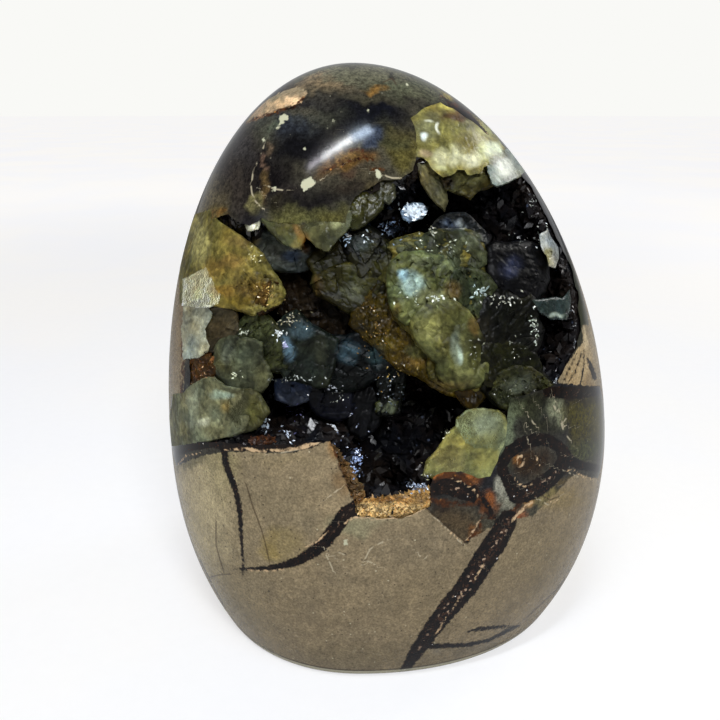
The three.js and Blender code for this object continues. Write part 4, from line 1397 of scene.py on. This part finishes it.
def new_material(name, sockets):
    """A material with one shader whose plain sockets are set, and what builds on it."""
    material = bpy.data.materials.new(name)
    material.use_nodes = True
    material.node_tree.nodes.clear()
    tree = Tree(material.node_tree)
    shader = tree.add("ShaderNodeBsdfPrincipled", sockets)
    output = tree.add("ShaderNodeOutputMaterial", {"Surface": shader.outputs[0]})
    place = tree.add("ShaderNodeTexCoord").outputs["Object"]
    return material, tree, shader.inputs, output, place


# Minerals of two clouded colours: colour, cloud colour, cloud scale, grain and its scale,
# speck colour, speck scale and the share of its cells that hold a speck.
BROWN_SEAM = (srgb(74, 40, 15), srgb(14, 8, 5), 520.0, 0.9, 1600.0, srgb(168, 112, 52),
              1200.0, 0.26)
BLACK_VEIN = (srgb(4, 3, 3), srgb(24, 14, 9), 620.0, 0.9, 2400.0, srgb(80, 52, 34),
              2200.0, 0.24)
DRUSE_CLOUDS = (srgb(26, 20, 16), 120.0, 0.6, 900.0, srgb(70, 78, 96), 900.0, 0.05)
FLOOR_CLOUDS = (srgb(204, 204, 206), 6.0, 0.02, 300.0, (0.02, 0.02, 0.02, 1), 500.0, 0.0)
MINERAL_SOCKETS = ("Place", "Colour", "Cloud colour", "Cloud scale", "Grain", "Grain scale",
                   "Speck colour", "Speck scale", "Speck share")


def clouded_mineral(tree, place, *values):
    return tree.group(clouded_mineral_group, dict(zip(MINERAL_SOCKETS, (place, *values))))


def stored(tree, name, part="Fac"):
    return tree.add("ShaderNodeAttribute", attribute_name=name).outputs[part]


# The edges of the zones: raggedness in mm, grain to the metre, softness in mm.
ZONE_EDGES = {
    "lime": (0.5, 1100.0, 0.12), "brown": (1.1, 1200.0, 0.3), "vein": (0.5, 1400.0, 0.14),
    "chip": (0.5, 1400.0, 0.12), "pale_rim": (0.35, 1500.0, 0.1),
}


def zone_mask(tree, place, name):
    """1 inside a stored zone."""
    raggedness, grain, softness = ZONE_EDGES[name]
    return tree.group(ragged_edge_group, {
        "Place": place, "Distance": stored(tree, name), "Raggedness": raggedness,
        "Grain": grain, "Softness": softness})["Mask"]


def line_mask(tree, name, width):
    """1 on a thin line that is stored as a distance across it, in mm."""
    away = tree.math("ABSOLUTE", stored(tree, name))
    return tree.ramp(away, width, 0.3 * width)


def grained(tree, place, colour, grains):
    """A colour with light and dark grain of several scales to the metre and strengths."""
    for scale, strength in grains:
        fine = tree.noise(place, scale, 3.0, 0.7)
        colour = tree.shaded(colour, tree.ramp(fine, 0.3, 0.7, 1 - strength, 1 + strength))
    return colour


def dotted(tree, place, colour, kinds):
    """A colour with small round dots: dot colour, scale, share of the cells, dot size."""
    for dot, scale, share, size in kinds:
        colour = tree.mix(tree.dots(place, scale, share, size, 0.3 * size), colour, srgb(*dot))
    return colour


def polished(tree, place, shader, rubbing, roughness):
    """Gives a shader the roughness of a hand polish, and returns the height of its marks."""
    polish = tree.group(polish_group, {"Place": place, "Rubbing": rubbing, "Roughness": roughness})
    tree.link(polish["Roughness"], shader["Roughness"])
    return polish["Height"]


def bumped(tree, shader, height, strength, distance):
    bump = tree.add("ShaderNodeBump", {
        "Height": height, "Strength": strength, "Distance": distance})
    tree.link(bump.outputs[0], shader["Normal"])


# ---------------------------------------------------------------- materials
LIME_GRAINS = ((2600.0, 0.34), (420.0, 0.14), (1100.0, 0.12))
LIME_DOTS = (
    ((40, 32, 25), 440.0, 0.16, 0.1), ((44, 36, 28), 620.0, 0.14, 0.16),
    ((186, 178, 156), 360.0, 0.1, 0.09), ((60, 50, 40), 1400.0, 0.1, 0.3),
    ((176, 166, 138), 900.0, 0.09, 0.2),
)
CALCITE_GRAINS = ((1100.0, 0.5), (3000.0, 0.35))
CALCITE_DOTS = (((120, 116, 100), 900.0, 0.05, 0.16),)
VEIN_GRAIN_SCALE = 2100.0
VEIN_GRAINS = ((0.55, 0.75, srgb(52, 32, 20)), (0.84, 0.95, srgb(158, 134, 112)))
VEIN_DOTS = (((236, 232, 226), 820.0, 0.1, 0.15),)
LINE_WIDTH = 0.2
CHIP, HAIRLINE, PALE_CRACK = srgb(178, 176, 148), srgb(58, 44, 28), srgb(186, 174, 146)
PALE_RIM, LEDGE_HIGHLIGHT, FOOT_LINE_AND_SHADOW = srgb(196, 166, 128), srgb(182, 178, 154), srgb(44, 38, 30)

# Along the cut foot, in metres: a pale painted highlight on the ledge between two heights,
# a dark line above it and a painted contact shadow where the stone meets the floor.
LEDGE = (0.0002, 0.0005, 0.0015, 0.0018)
FOOT_LINE = 0.0019
FOOT_LINE_REACH = (0.0001, 0.0003)


def polished_stone_material(look):
    """Limestone, dark calcite and seams, cut through and polished to one face."""
    material, tree, shader, _output, place = new_material(
        "polished_septarian_stone", {"IOR": 1.42, "Specular IOR Level": 0.2})
    lime = grained(tree, place, stored(tree, "lime_tone", "Color"), LIME_GRAINS)
    lime = tree.mix(1.0, lime, tuple(look.limestone_tint), "MULTIPLY")
    lime = dotted(tree, place, lime, LIME_DOTS)
    calcite = grained(tree, place, stored(tree, "tone", "Color"), CALCITE_GRAINS)
    calcite = tree.mix(1.0, calcite, tuple(look.calcite_tint), "MULTIPLY")
    calcite = dotted(tree, place, calcite, CALCITE_DOTS)
    brown = clouded_mineral(tree, place, *BROWN_SEAM)["Colour"]
    vein = clouded_mineral(tree, place, *BLACK_VEIN)["Colour"]
    _away, _other, tone = tree.cells(place, VEIN_GRAIN_SCALE)
    inside = tree.ramp(stored(tree, "vein"), 0.8, 1.5)
    for low, high, grain in VEIN_GRAINS:
        vein = tree.mix(tree.times(inside, tree.ramp(tone, low, high)), vein, grain)
    vein = dotted(tree, place, vein, VEIN_DOTS)
    lime_mask = zone_mask(tree, place, "lime")
    broken = tree.ramp(tree.noise(place, 800.0, 2.0), 0.42, 0.55)
    crack = tree.times(tree.times(line_mask(tree, "pale_crack", LINE_WIDTH), broken), 0.6)
    uneven = tree.ramp(tree.noise(place, 900.0, 2.0), 0.3, 0.5, 0.35, 0.9)
    height = tree.add("ShaderNodeSeparateXYZ", {0: place}).outputs[2]
    ledge = tree.times(tree.ramp(height, LEDGE[3], LEDGE[2]), tree.ramp(height, *LEDGE[:2]))
    line = tree.math("ABSOLUTE", tree.minus(height, FOOT_LINE))
    line = tree.minus(1.0, tree.ramp(line, *FOOT_LINE_REACH))
    edge = tree.ramp(height, LEDGE[1], LEDGE[0])
    colour = tree.mix(lime_mask, calcite, lime)
    for mask, laid in (
            (zone_mask(tree, place, "brown"), brown),
            (zone_mask(tree, place, "vein"), vein),
            (zone_mask(tree, place, "chip"), CHIP),
            (tree.times(line_mask(tree, "hair", LINE_WIDTH), 0.7), HAIRLINE),
            (crack, PALE_CRACK),
            (tree.times(zone_mask(tree, place, "pale_rim"), uneven), PALE_RIM),
            # A painted highlight on the foot's ledge, then the dark line and the painted contact
            # shadow along the foot.
            (tree.times(ledge, 0.6), LEDGE_HIGHLIGHT),
            (tree.times(tree.math("MAXIMUM", line, edge), 0.7), FOOT_LINE_AND_SHADOW)):
        colour = tree.mix(mask, colour, laid)
    tree.link(colour, shader["Base Color"])
    level = tree.ramp(lime_mask, 0.0, 1.0, look.polish_roughness, look.limestone_roughness)
    marks = polished(tree, place, shader, 0.05, level)
    fine = tree.noise(place, LIME_GRAINS[0][0], 3.0, 0.7)
    bumped(tree, shader, tree.plus(marks, tree.times(fine, 0.5)), 0.1, 0.00003)
    return material


def druse_material(name, look):
    """Dark crystal druse: near black, glossy, a breath of blue."""
    material, tree, shader, _output, place = new_material(name, {"IOR": 1.4})
    druse = clouded_mineral(tree, place, tuple(look.druse_colour), *DRUSE_CLOUDS)
    tree.link(druse["Colour"], shader["Base Color"])
    polished(tree, place, shader, 0.1, 0.22)
    bumped(tree, shader, druse["Height"], 0.25, 0.0002)
    return material


# Kinds of grown calcite: roughness, shine, share of the clearness, absorption colour and
# density, haze, contrast of the grain and strength of the relief.
CALCITES = {
    "green_calcite": (0.4, 0.05, 1.0, (150, 170, 120), 140.0, 0.16, 0.9, 0.36),
    "honey_calcite": (0.38, 0.07, 1.0, (200, 160, 80), 160.0, 0.08, 1.0, 0.4),
    "crumb_calcite": (0.34, 0.25, 2 / 3, (200, 160, 80), 100.0, 0.1, 1.0, 0.4),
    "pale_calcite": (0.28, 0.16, 1.2, (220, 216, 160), 90.0, 0.2, 0.5, 0.2),
    "glint_calcite": (0.1, 0.5, 0.0, (220, 220, 200), 90.0, 0.0, 1.0, 0.4),
}
GRAIN_CELLS, CRYSTAL_CELLS = 1050.0, 330.0


def calcite_material(name, look):
    """Grown calcite: its tint is stored in the mesh, and light passes some way into it."""
    roughness, shine, clear, absorption, density, haze, contrast, relief = CALCITES[name]
    material, tree, shader, output, place = new_material(name, {
        "IOR": 1.48, "Specular IOR Level": shine, "Subsurface Weight": 0.35,
        "Subsurface Radius": (1.0, 0.9, 0.6), "Subsurface Scale": 0.0015,
        "Transmission Weight": clear * look.clearness})
    tint = stored(tree, "tint", "Color")
    cloud = tree.ramp(tree.noise(place, 260.0, 4.0, 0.6), 0.35, 0.7)
    milky = tree.mix(1.0, tint, (2.2, 2.2, 2.1, 1), "MULTIPLY")
    veil = tree.mix(tree.times(cloud, haze), tint, milky)
    fine = tree.noise(place, 1300.0, 3.0, 0.65)
    bend = tree.add("ShaderNodeTexNoise", {"Vector": place, "Scale": 500.0}).outputs["Color"]
    bend = tree.add("ShaderNodeVectorMath", {0: bend, "Scale": 0.0009}, operation="SCALE")
    bent = tree.add("ShaderNodeVectorMath", {0: place, 1: bend.outputs[0]}).outputs[0]
    grain_away, grain_tone, _other = tree.cells(bent, GRAIN_CELLS)
    crystal_away, _other, crystal_tone = tree.cells(bent, CRYSTAL_CELLS)
    shade = tree.times(tree.ramp(fine, 0.25, 0.75, 0.66, 1.3),
                       tree.ramp(grain_tone, 0.0, 1.0, 0.72, 1.3))
    shade = tree.times(shade, tree.ramp(crystal_tone, 0.0, 1.0, 0.78, 1.25))
    tree.link(tree.shaded(veil, tree.math("POWER", shade, contrast)), shader["Base Color"])
    polished(tree, place, shader, 0.16, roughness)
    height = tree.plus(tree.noise(place, 600.0, 3.0), tree.times(fine, 0.4))
    steps = tree.plus(tree.times(grain_away, -0.7), tree.times(crystal_away, -1.1))
    bumped(tree, shader, tree.plus(height, steps), relief, 0.0004)
    volume = tree.add("ShaderNodeVolumeAbsorption", {"Color": srgb(*absorption),
                                                     "Density": density})
    tree.link(volume.outputs[0], output.inputs["Volume"])
    return material


# ---------------------------------------------------------------- settings
def number(name, description, default, least, **more):
    return bpy.props.FloatProperty(
        name=name, description=description, default=default, min=least, **more)


def tinted(name, description, default):
    return bpy.props.FloatVectorProperty(
        name=name, description=description, default=default, size=4, subtype="COLOR", min=0, max=1)


class SeptarianStoneSettings(bpy.types.PropertyGroup):
    """Sizes and colours of the polished stone."""

    hollow_depth: number("Hollow depth", "How deep the hollow is behind the polished face",
                         0.019, 0.004, max=0.024, unit="LENGTH")
    limestone_tint: tinted("Limestone tint", "Multiplies the colour of the limestone",
                           (0.97, 0.89, 0.79, 1))
    calcite_tint: tinted("Calcite tint", "Multiplies the colour of the polished calcite",
                         (1, 1, 1, 1))
    polish_roughness: number("Calcite polish", "Roughness of the polished calcite",
                             0.12, 0.02, max=1, subtype="FACTOR")
    limestone_roughness: number("Limestone polish", "Roughness of the polished limestone",
                                0.27, 0.02, max=1, subtype="FACTOR")


class SeptarianCrystalSettings(bpy.types.PropertyGroup):
    """Colours and clearness of the crystals in the hollow."""

    druse_colour: tinted("Dark druse", "Colour of the small dark crystals", srgb(14, 15, 19))
    druse_count: bpy.props.IntProperty(
        name="Druse crystals", description="How many small dark crystals line the hollow",
        default=7000, min=100, max=12000)
    clearness: number("Clearness", "How much light passes through the crystals",
                      0.15, 0, max=1, subtype="FACTOR")


class SeptarianStageSettings(bpy.types.PropertyGroup):
    """Floor, lights and camera."""

    floor_colour: tinted("Floor", "Colour of the pale floor", srgb(208, 206, 203))
    floor_lift: number("Floor lift", "How much the camera sees the floor brightened",
                       1.03, 0, max=4)
    strip_power: number("Strip power", "Power of the narrow window above the dome",
                        1.8, 0, subtype="POWER")
    window_power: number("Window power", "Power of the window in front of the hollow",
                         2.5, 0, subtype="POWER")
    side_power: number("Side power", "Power of the soft light from the right, behind",
                       1.45, 0, subtype="POWER")
    fill_power: number("Fill power", "Power of the soft light on the left",
                       0.95, 0, subtype="POWER")
    wall_glow: number("Wall glow", "Brightness of the room behind the stone", 0.45, 0)
    room_glow: number("Room glow", "Brightness of the room in front of the stone", 0.06, 0)
    lens: number("Lens", "Focal length of the camera, in millimetres", 36.0, 10, max=200)


# ---------------------------------------------------------------- operators
POLISHED_GAUGE = 0.9962
WALL_START = 1.4 * BASE_BEVEL
BODY_CREASE = 40
MASS_CREASE = 32


class SEPTARIAN_OT_stone_body(bpy.types.Operator):
    """Builds the polished egg with its hollow cut out and its mineral zones marked"""

    bl_idname = "septarian.stone_body"
    bl_label = "Stone body"

    def execute(self, context):
        look = context.scene.septarian_stone
        body = mesh_from("stone_body", *egg_shell(), smooth=True)
        carve_hollow(body, look.hollow_depth / MM)
        mesh = body.data
        mark_stone(mesh)
        mesh.materials.clear()
        mesh.materials.append(polished_stone_material(look))
        mesh.materials.append(druse_material("hollow_wall_druse", context.scene.septarian_crystals))
        middles = mesh_points(mesh)[mesh_triangles(mesh)].mean(1)
        inner = (gauge(middles) < POLISHED_GAUGE) & (middles[:, 2] > WALL_START)
        mesh.polygons.foreach_set("material_index", inner.astype(np.int32))
        mesh.polygons.foreach_set("use_smooth", ~inner)
        mesh.set_sharp_from_angle(angle=math.radians(BODY_CREASE))
        put_in_place(body, "nodule")
        return {"FINISHED"}


class SEPTARIAN_OT_druse(bpy.types.Operator):
    """Lines the hollow with small dark crystals"""

    bl_idname = "septarian.druse"
    bl_label = "Dark druse"

    def execute(self, context):
        look = context.scene.septarian_crystals
        parts = druse_lining(context.scene.septarian_stone.hollow_depth / MM, look.druse_count)
        crystal_piece("druse_lining", parts, druse_material("dark_druse_crystal", look))
        return {"FINISHED"}


class SEPTARIAN_OT_green_calcite(bpy.types.Operator):
    """Grows the green and blue-grey masses of calcite"""

    bl_idname = "septarian.green_calcite"
    bl_label = "Green calcite"

    def execute(self, context):
        material = calcite_material("green_calcite", context.scene.septarian_crystals)
        for name, (masses, first) in GREEN_PIECES.items():
            crystal_piece(name, grown_masses(masses, first), material, MASS_CREASE)
        return {"FINISHED"}


class SEPTARIAN_OT_honey_calcite(bpy.types.Operator):
    """Grows the honey and brown masses and the crumbs at their feet"""

    bl_idname = "septarian.honey_calcite"
    bl_label = "Honey calcite"

    def execute(self, context):
        look = context.scene.septarian_crystals
        crystal_piece("honey_calcite_masses", grown_masses(HONEY_MASSES, FIRST_HONEY),
                      calcite_material("honey_calcite", look), MASS_CREASE)
        beds = [crumb_bed(bed, k) for k, bed in enumerate(CRUMB_BEDS)]
        crystal_piece("honey_crumbs", beds, calcite_material("crumb_calcite", look))
        return {"FINISHED"}


class SEPTARIAN_OT_pale_calcite(bpy.types.Operator):
    """Sets the pale blades, teeth and chips in place"""

    bl_idname = "septarian.pale_calcite"
    bl_label = "Pale calcite"

    def execute(self, context):
        material = calcite_material("pale_calcite", context.scene.septarian_crystals)
        crystal_piece("pale_calcite_blades", grown_masses(PALE_MASSES, FIRST_PALE), material,
                      MASS_CREASE)
        return {"FINISHED"}


class SEPTARIAN_OT_glints(bpy.types.Operator):
    """Scatters bright grains over the crystals the camera sees"""

    bl_idname = "septarian.glints"
    bl_label = "Glints"

    def execute(self, context):
        material = calcite_material("glint_calcite", context.scene.septarian_crystals)
        crystal_piece("calcite_glints", glint_grains(), material)
        return {"FINISHED"}


# ---------------------------------------------------------------- the stage
# Where the tall window is seen in the polish of the dome, and its panes: height in metres,
# share of the power and colour.
STREAK = drawn("308,168 322,158 336,149 352,139 371,129")
STREAK_PANES = [
    (0.008, 0.10, (0.96, 0.92, 1.0)), (0.014, 0.24, (0.97, 0.98, 1.0)),
    (0.018, 0.34, (0.95, 0.98, 1.0)), (0.030, 0.26, (0.62, 0.78, 1.0)),
]
STREAK_DISTANCE = 460.0

# The soft lights: the way to them from the middle of the crystals, distance in metres, the
# direction of their width, their size, their setting and their colour.
LIT_MIDDLE = Vector((0.0, -0.025, 0.062))
SOFT_LIGHTS = {
    "window": (WINDOW_WAY, 0.6, (1, 0, 0), 0.13, "window_power", (0.94, 0.97, 1.0)),
    "side_window": ((0.74, 0.45, 0.50), 0.7, (0, 1, 0), 0.25, "side_power", (1.0, 0.98, 0.94)),
    "side_fill": ((-0.80, -0.50, 0.33), 0.8, (0, 1, 0), 0.4, "fill_power", (1.0, 0.99, 0.95)),
}

FLOOR_SIDES = 96
FLOOR_RINGS = (300, 9000)
FLOOR_SEEN = srgb(150, 150, 150)
FLOOR_LIFT_START, FLOOR_LIFT_END = 0.12, 0.9
FAR_FLOOR_LIFT = 1.4
BACKDROP = srgb(249, 249, 246)
ROOM_LIGHT = srgb(244, 246, 250)


def area_light(name, at, aim, across, size, power, colour):
    """A rectangular soft light, all in metres: its width lies along the direction across."""
    lamp = bpy.data.lights.new(name, "AREA")
    lamp.shape = "RECTANGLE"
    lamp.size, lamp.size_y = size
    lamp.energy = power
    lamp.color = colour
    made = bpy.data.objects.new(name, lamp)
    bpy.context.scene.collection.objects.link(made)
    back = (Vector(at) - Vector(aim)).normalized()
    along = Vector(across)
    along = (along - back * along.dot(back)).normalized()
    turn = Matrix((along, back.cross(along), back)).transposed()
    made.matrix_world = Matrix.Translation(at) @ turn.to_4x4()


def mirrored(spots):
    """Where lights must stand to be seen in the polish at drawn spots, and those points."""
    points = meet_stone(spots, 0.0)
    way = unit(points - CAMERA_AT)
    normals = face_normals(points)
    back = way - 2 * np.sum(way * normals, 1, keepdims=True) * normals
    return points + STREAK_DISTANCE * back, points


def lay_floor(stage):
    """A wide pale floor that the camera sees a little brighter towards its far edge."""
    turns = np.linspace(0, 2 * math.pi, FLOOR_SIDES + 1)[:-1]
    rings = [(r * math.cos(t), r * math.sin(t), 0.0) for r in FLOOR_RINGS for t in turns]
    here, after = ring_numbers(FLOOR_SIDES)
    inner, outer = 1 + here, 1 + FLOOR_SIDES + here
    after_inner, after_outer = 1 + after, 1 + FLOOR_SIDES + after
    faces = np.concatenate([
        np.stack([np.zeros(FLOOR_SIDES, int), inner, after_inner], -1),
        np.stack([inner, outer, after_outer], -1),
        np.stack([inner, after_outer, after_inner], -1)])
    floor = mesh_from("pale_floor", np.array([(0.0, 0.0, 0.0)] + rings), faces)
    material, tree, shader, _output, place = new_material(
        "matt_floor", {"Roughness": 0.9, "Specular IOR Level": 0.0})
    colour = clouded_mineral(tree, place, tuple(stage.floor_colour), *FLOOR_CLOUDS)["Colour"]
    seen = tree.add("ShaderNodeLightPath").outputs["Is Camera Ray"]
    tree.link(tree.mix(seen, colour, FLOOR_SEEN), shader["Base Color"])
    tree.link(colour, shader["Emission Color"])
    away = tree.add("ShaderNodeVectorMath", {0: place}, operation="LENGTH").outputs["Value"]
    lift = tree.ramp(away, FLOOR_LIFT_START, FLOOR_LIFT_END, stage.floor_lift, FAR_FLOOR_LIFT)
    tree.link(tree.times(seen, lift), shader["Emission Strength"])
    floor.data.materials.append(material)


def light_room(stage):
    """A world that the camera sees as a pale wall, and that lights the stone softly."""
    world = bpy.data.worlds.new("soft_room")
    world.use_nodes = True
    world.node_tree.nodes.clear()
    room = Tree(world.node_tree)
    seen = room.add("ShaderNodeLightPath").outputs["Is Camera Ray"]
    backdrop = room.add("ShaderNodeBackground", {"Color": BACKDROP, "Strength": 1.0})
    way = room.add("ShaderNodeSeparateXYZ", {
        0: room.add("ShaderNodeTexCoord").outputs["Generated"]}).outputs
    behind = room.ramp(way[1], 0.2, 0.9, 0.0, stage.wall_glow)
    above = room.ramp(way[2], -0.2, 1.0, stage.room_glow, 3 * stage.room_glow)
    glow = room.add("ShaderNodeBackground", {"Color": ROOM_LIGHT,
                                             "Strength": room.plus(behind, above)})
    both = room.add("ShaderNodeMixShader", {0: seen, 1: glow.outputs[0], 2: backdrop.outputs[0]})
    room.add("ShaderNodeOutputWorld", {0: both.outputs[0]})
    bpy.context.scene.world = world


def set_lights(stage):
    lamps, lit = mirrored(STREAK)
    for k, (height, share, colour) in enumerate(STREAK_PANES):
        start, end = lamps[k] * MM, lamps[k + 1] * MM
        area_light(f"window_pane_{k + 1}", (start + end) / 2, lit[k] * MM, end - start,
                   (np.linalg.norm(end - start), height), stage.strip_power * share, colour)
    for name, (way, distance, across, size, power, colour) in SOFT_LIGHTS.items():
        area_light(name, LIT_MIDDLE + distance * Vector(way), LIT_MIDDLE, across, (size, size),
                   getattr(stage, power), colour)


def set_camera(stage):
    seeing = bpy.data.cameras.new("camera")
    seeing.sensor_width = 36.0
    seeing.lens = stage.lens
    seeing.clip_start = 0.01
    camera = bpy.data.objects.new("camera", seeing)
    bpy.context.scene.collection.objects.link(camera)
    camera.location = CAMERA_AT * MM
    camera.rotation_euler = (math.pi / 2 - CAMERA_PITCH, 0, 0)
    bpy.context.scene.camera = camera
    bpy.context.scene.view_settings.view_transform = "Standard"


class SEPTARIAN_OT_stage(bpy.types.Operator):
    """Lays the pale floor and sets the lights and the camera"""

    bl_idname = "septarian.stage"
    bl_label = "Floor, lights and camera"

    def execute(self, context):
        for prepare in (lay_floor, light_room, set_lights, set_camera):
            prepare(context.scene.septarian_stage)
        return {"FINISHED"}


# ---------------------------------------------------------------- the add-on
OPERATORS = (
    SEPTARIAN_OT_stage, SEPTARIAN_OT_stone_body, SEPTARIAN_OT_druse,
    SEPTARIAN_OT_green_calcite, SEPTARIAN_OT_honey_calcite, SEPTARIAN_OT_pale_calcite,
    SEPTARIAN_OT_glints,
)
SETTINGS = {
    "septarian_stone": SeptarianStoneSettings,
    "septarian_crystals": SeptarianCrystalSettings,
    "septarian_stage": SeptarianStageSettings,
}


class SEPTARIAN_PT_panel(bpy.types.Panel):
    """Lists the pieces of the nodule and their settings"""

    bl_label = "Septarian nodule"
    bl_idname = "SEPTARIAN_PT_panel"
    bl_space_type = "VIEW_3D"
    bl_region_type = "UI"
    bl_category = "Septarian"

    def draw(self, context):
        for group in SETTINGS:
            settings = getattr(context.scene, group)
            for name in settings.bl_rna.properties.keys():
                if name not in ("rna_type", "name"):
                    self.layout.prop(settings, name)
        for operator in OPERATORS:
            self.layout.operator(operator.bl_idname)


def register():
    for name, group in SETTINGS.items():
        bpy.utils.register_class(group)
        setattr(bpy.types.Scene, name, bpy.props.PointerProperty(type=group))
    for operator in OPERATORS:
        bpy.utils.register_class(operator)
    bpy.utils.register_class(SEPTARIAN_PT_panel)


def unregister():
    bpy.utils.unregister_class(SEPTARIAN_PT_panel)
    for operator in reversed(OPERATORS):
        bpy.utils.unregister_class(operator)
    for name, group in SETTINGS.items():
        delattr(bpy.types.Scene, name)
        bpy.utils.unregister_class(group)


def main():
    register()
    bpy.ops.septarian.stage()
    bpy.ops.septarian.stone_body()
    bpy.ops.septarian.druse()
    bpy.ops.septarian.green_calcite()
    bpy.ops.septarian.honey_calcite()
    bpy.ops.septarian.pale_calcite()
    bpy.ops.septarian.glints()


if __name__ == "__main__":
    main()
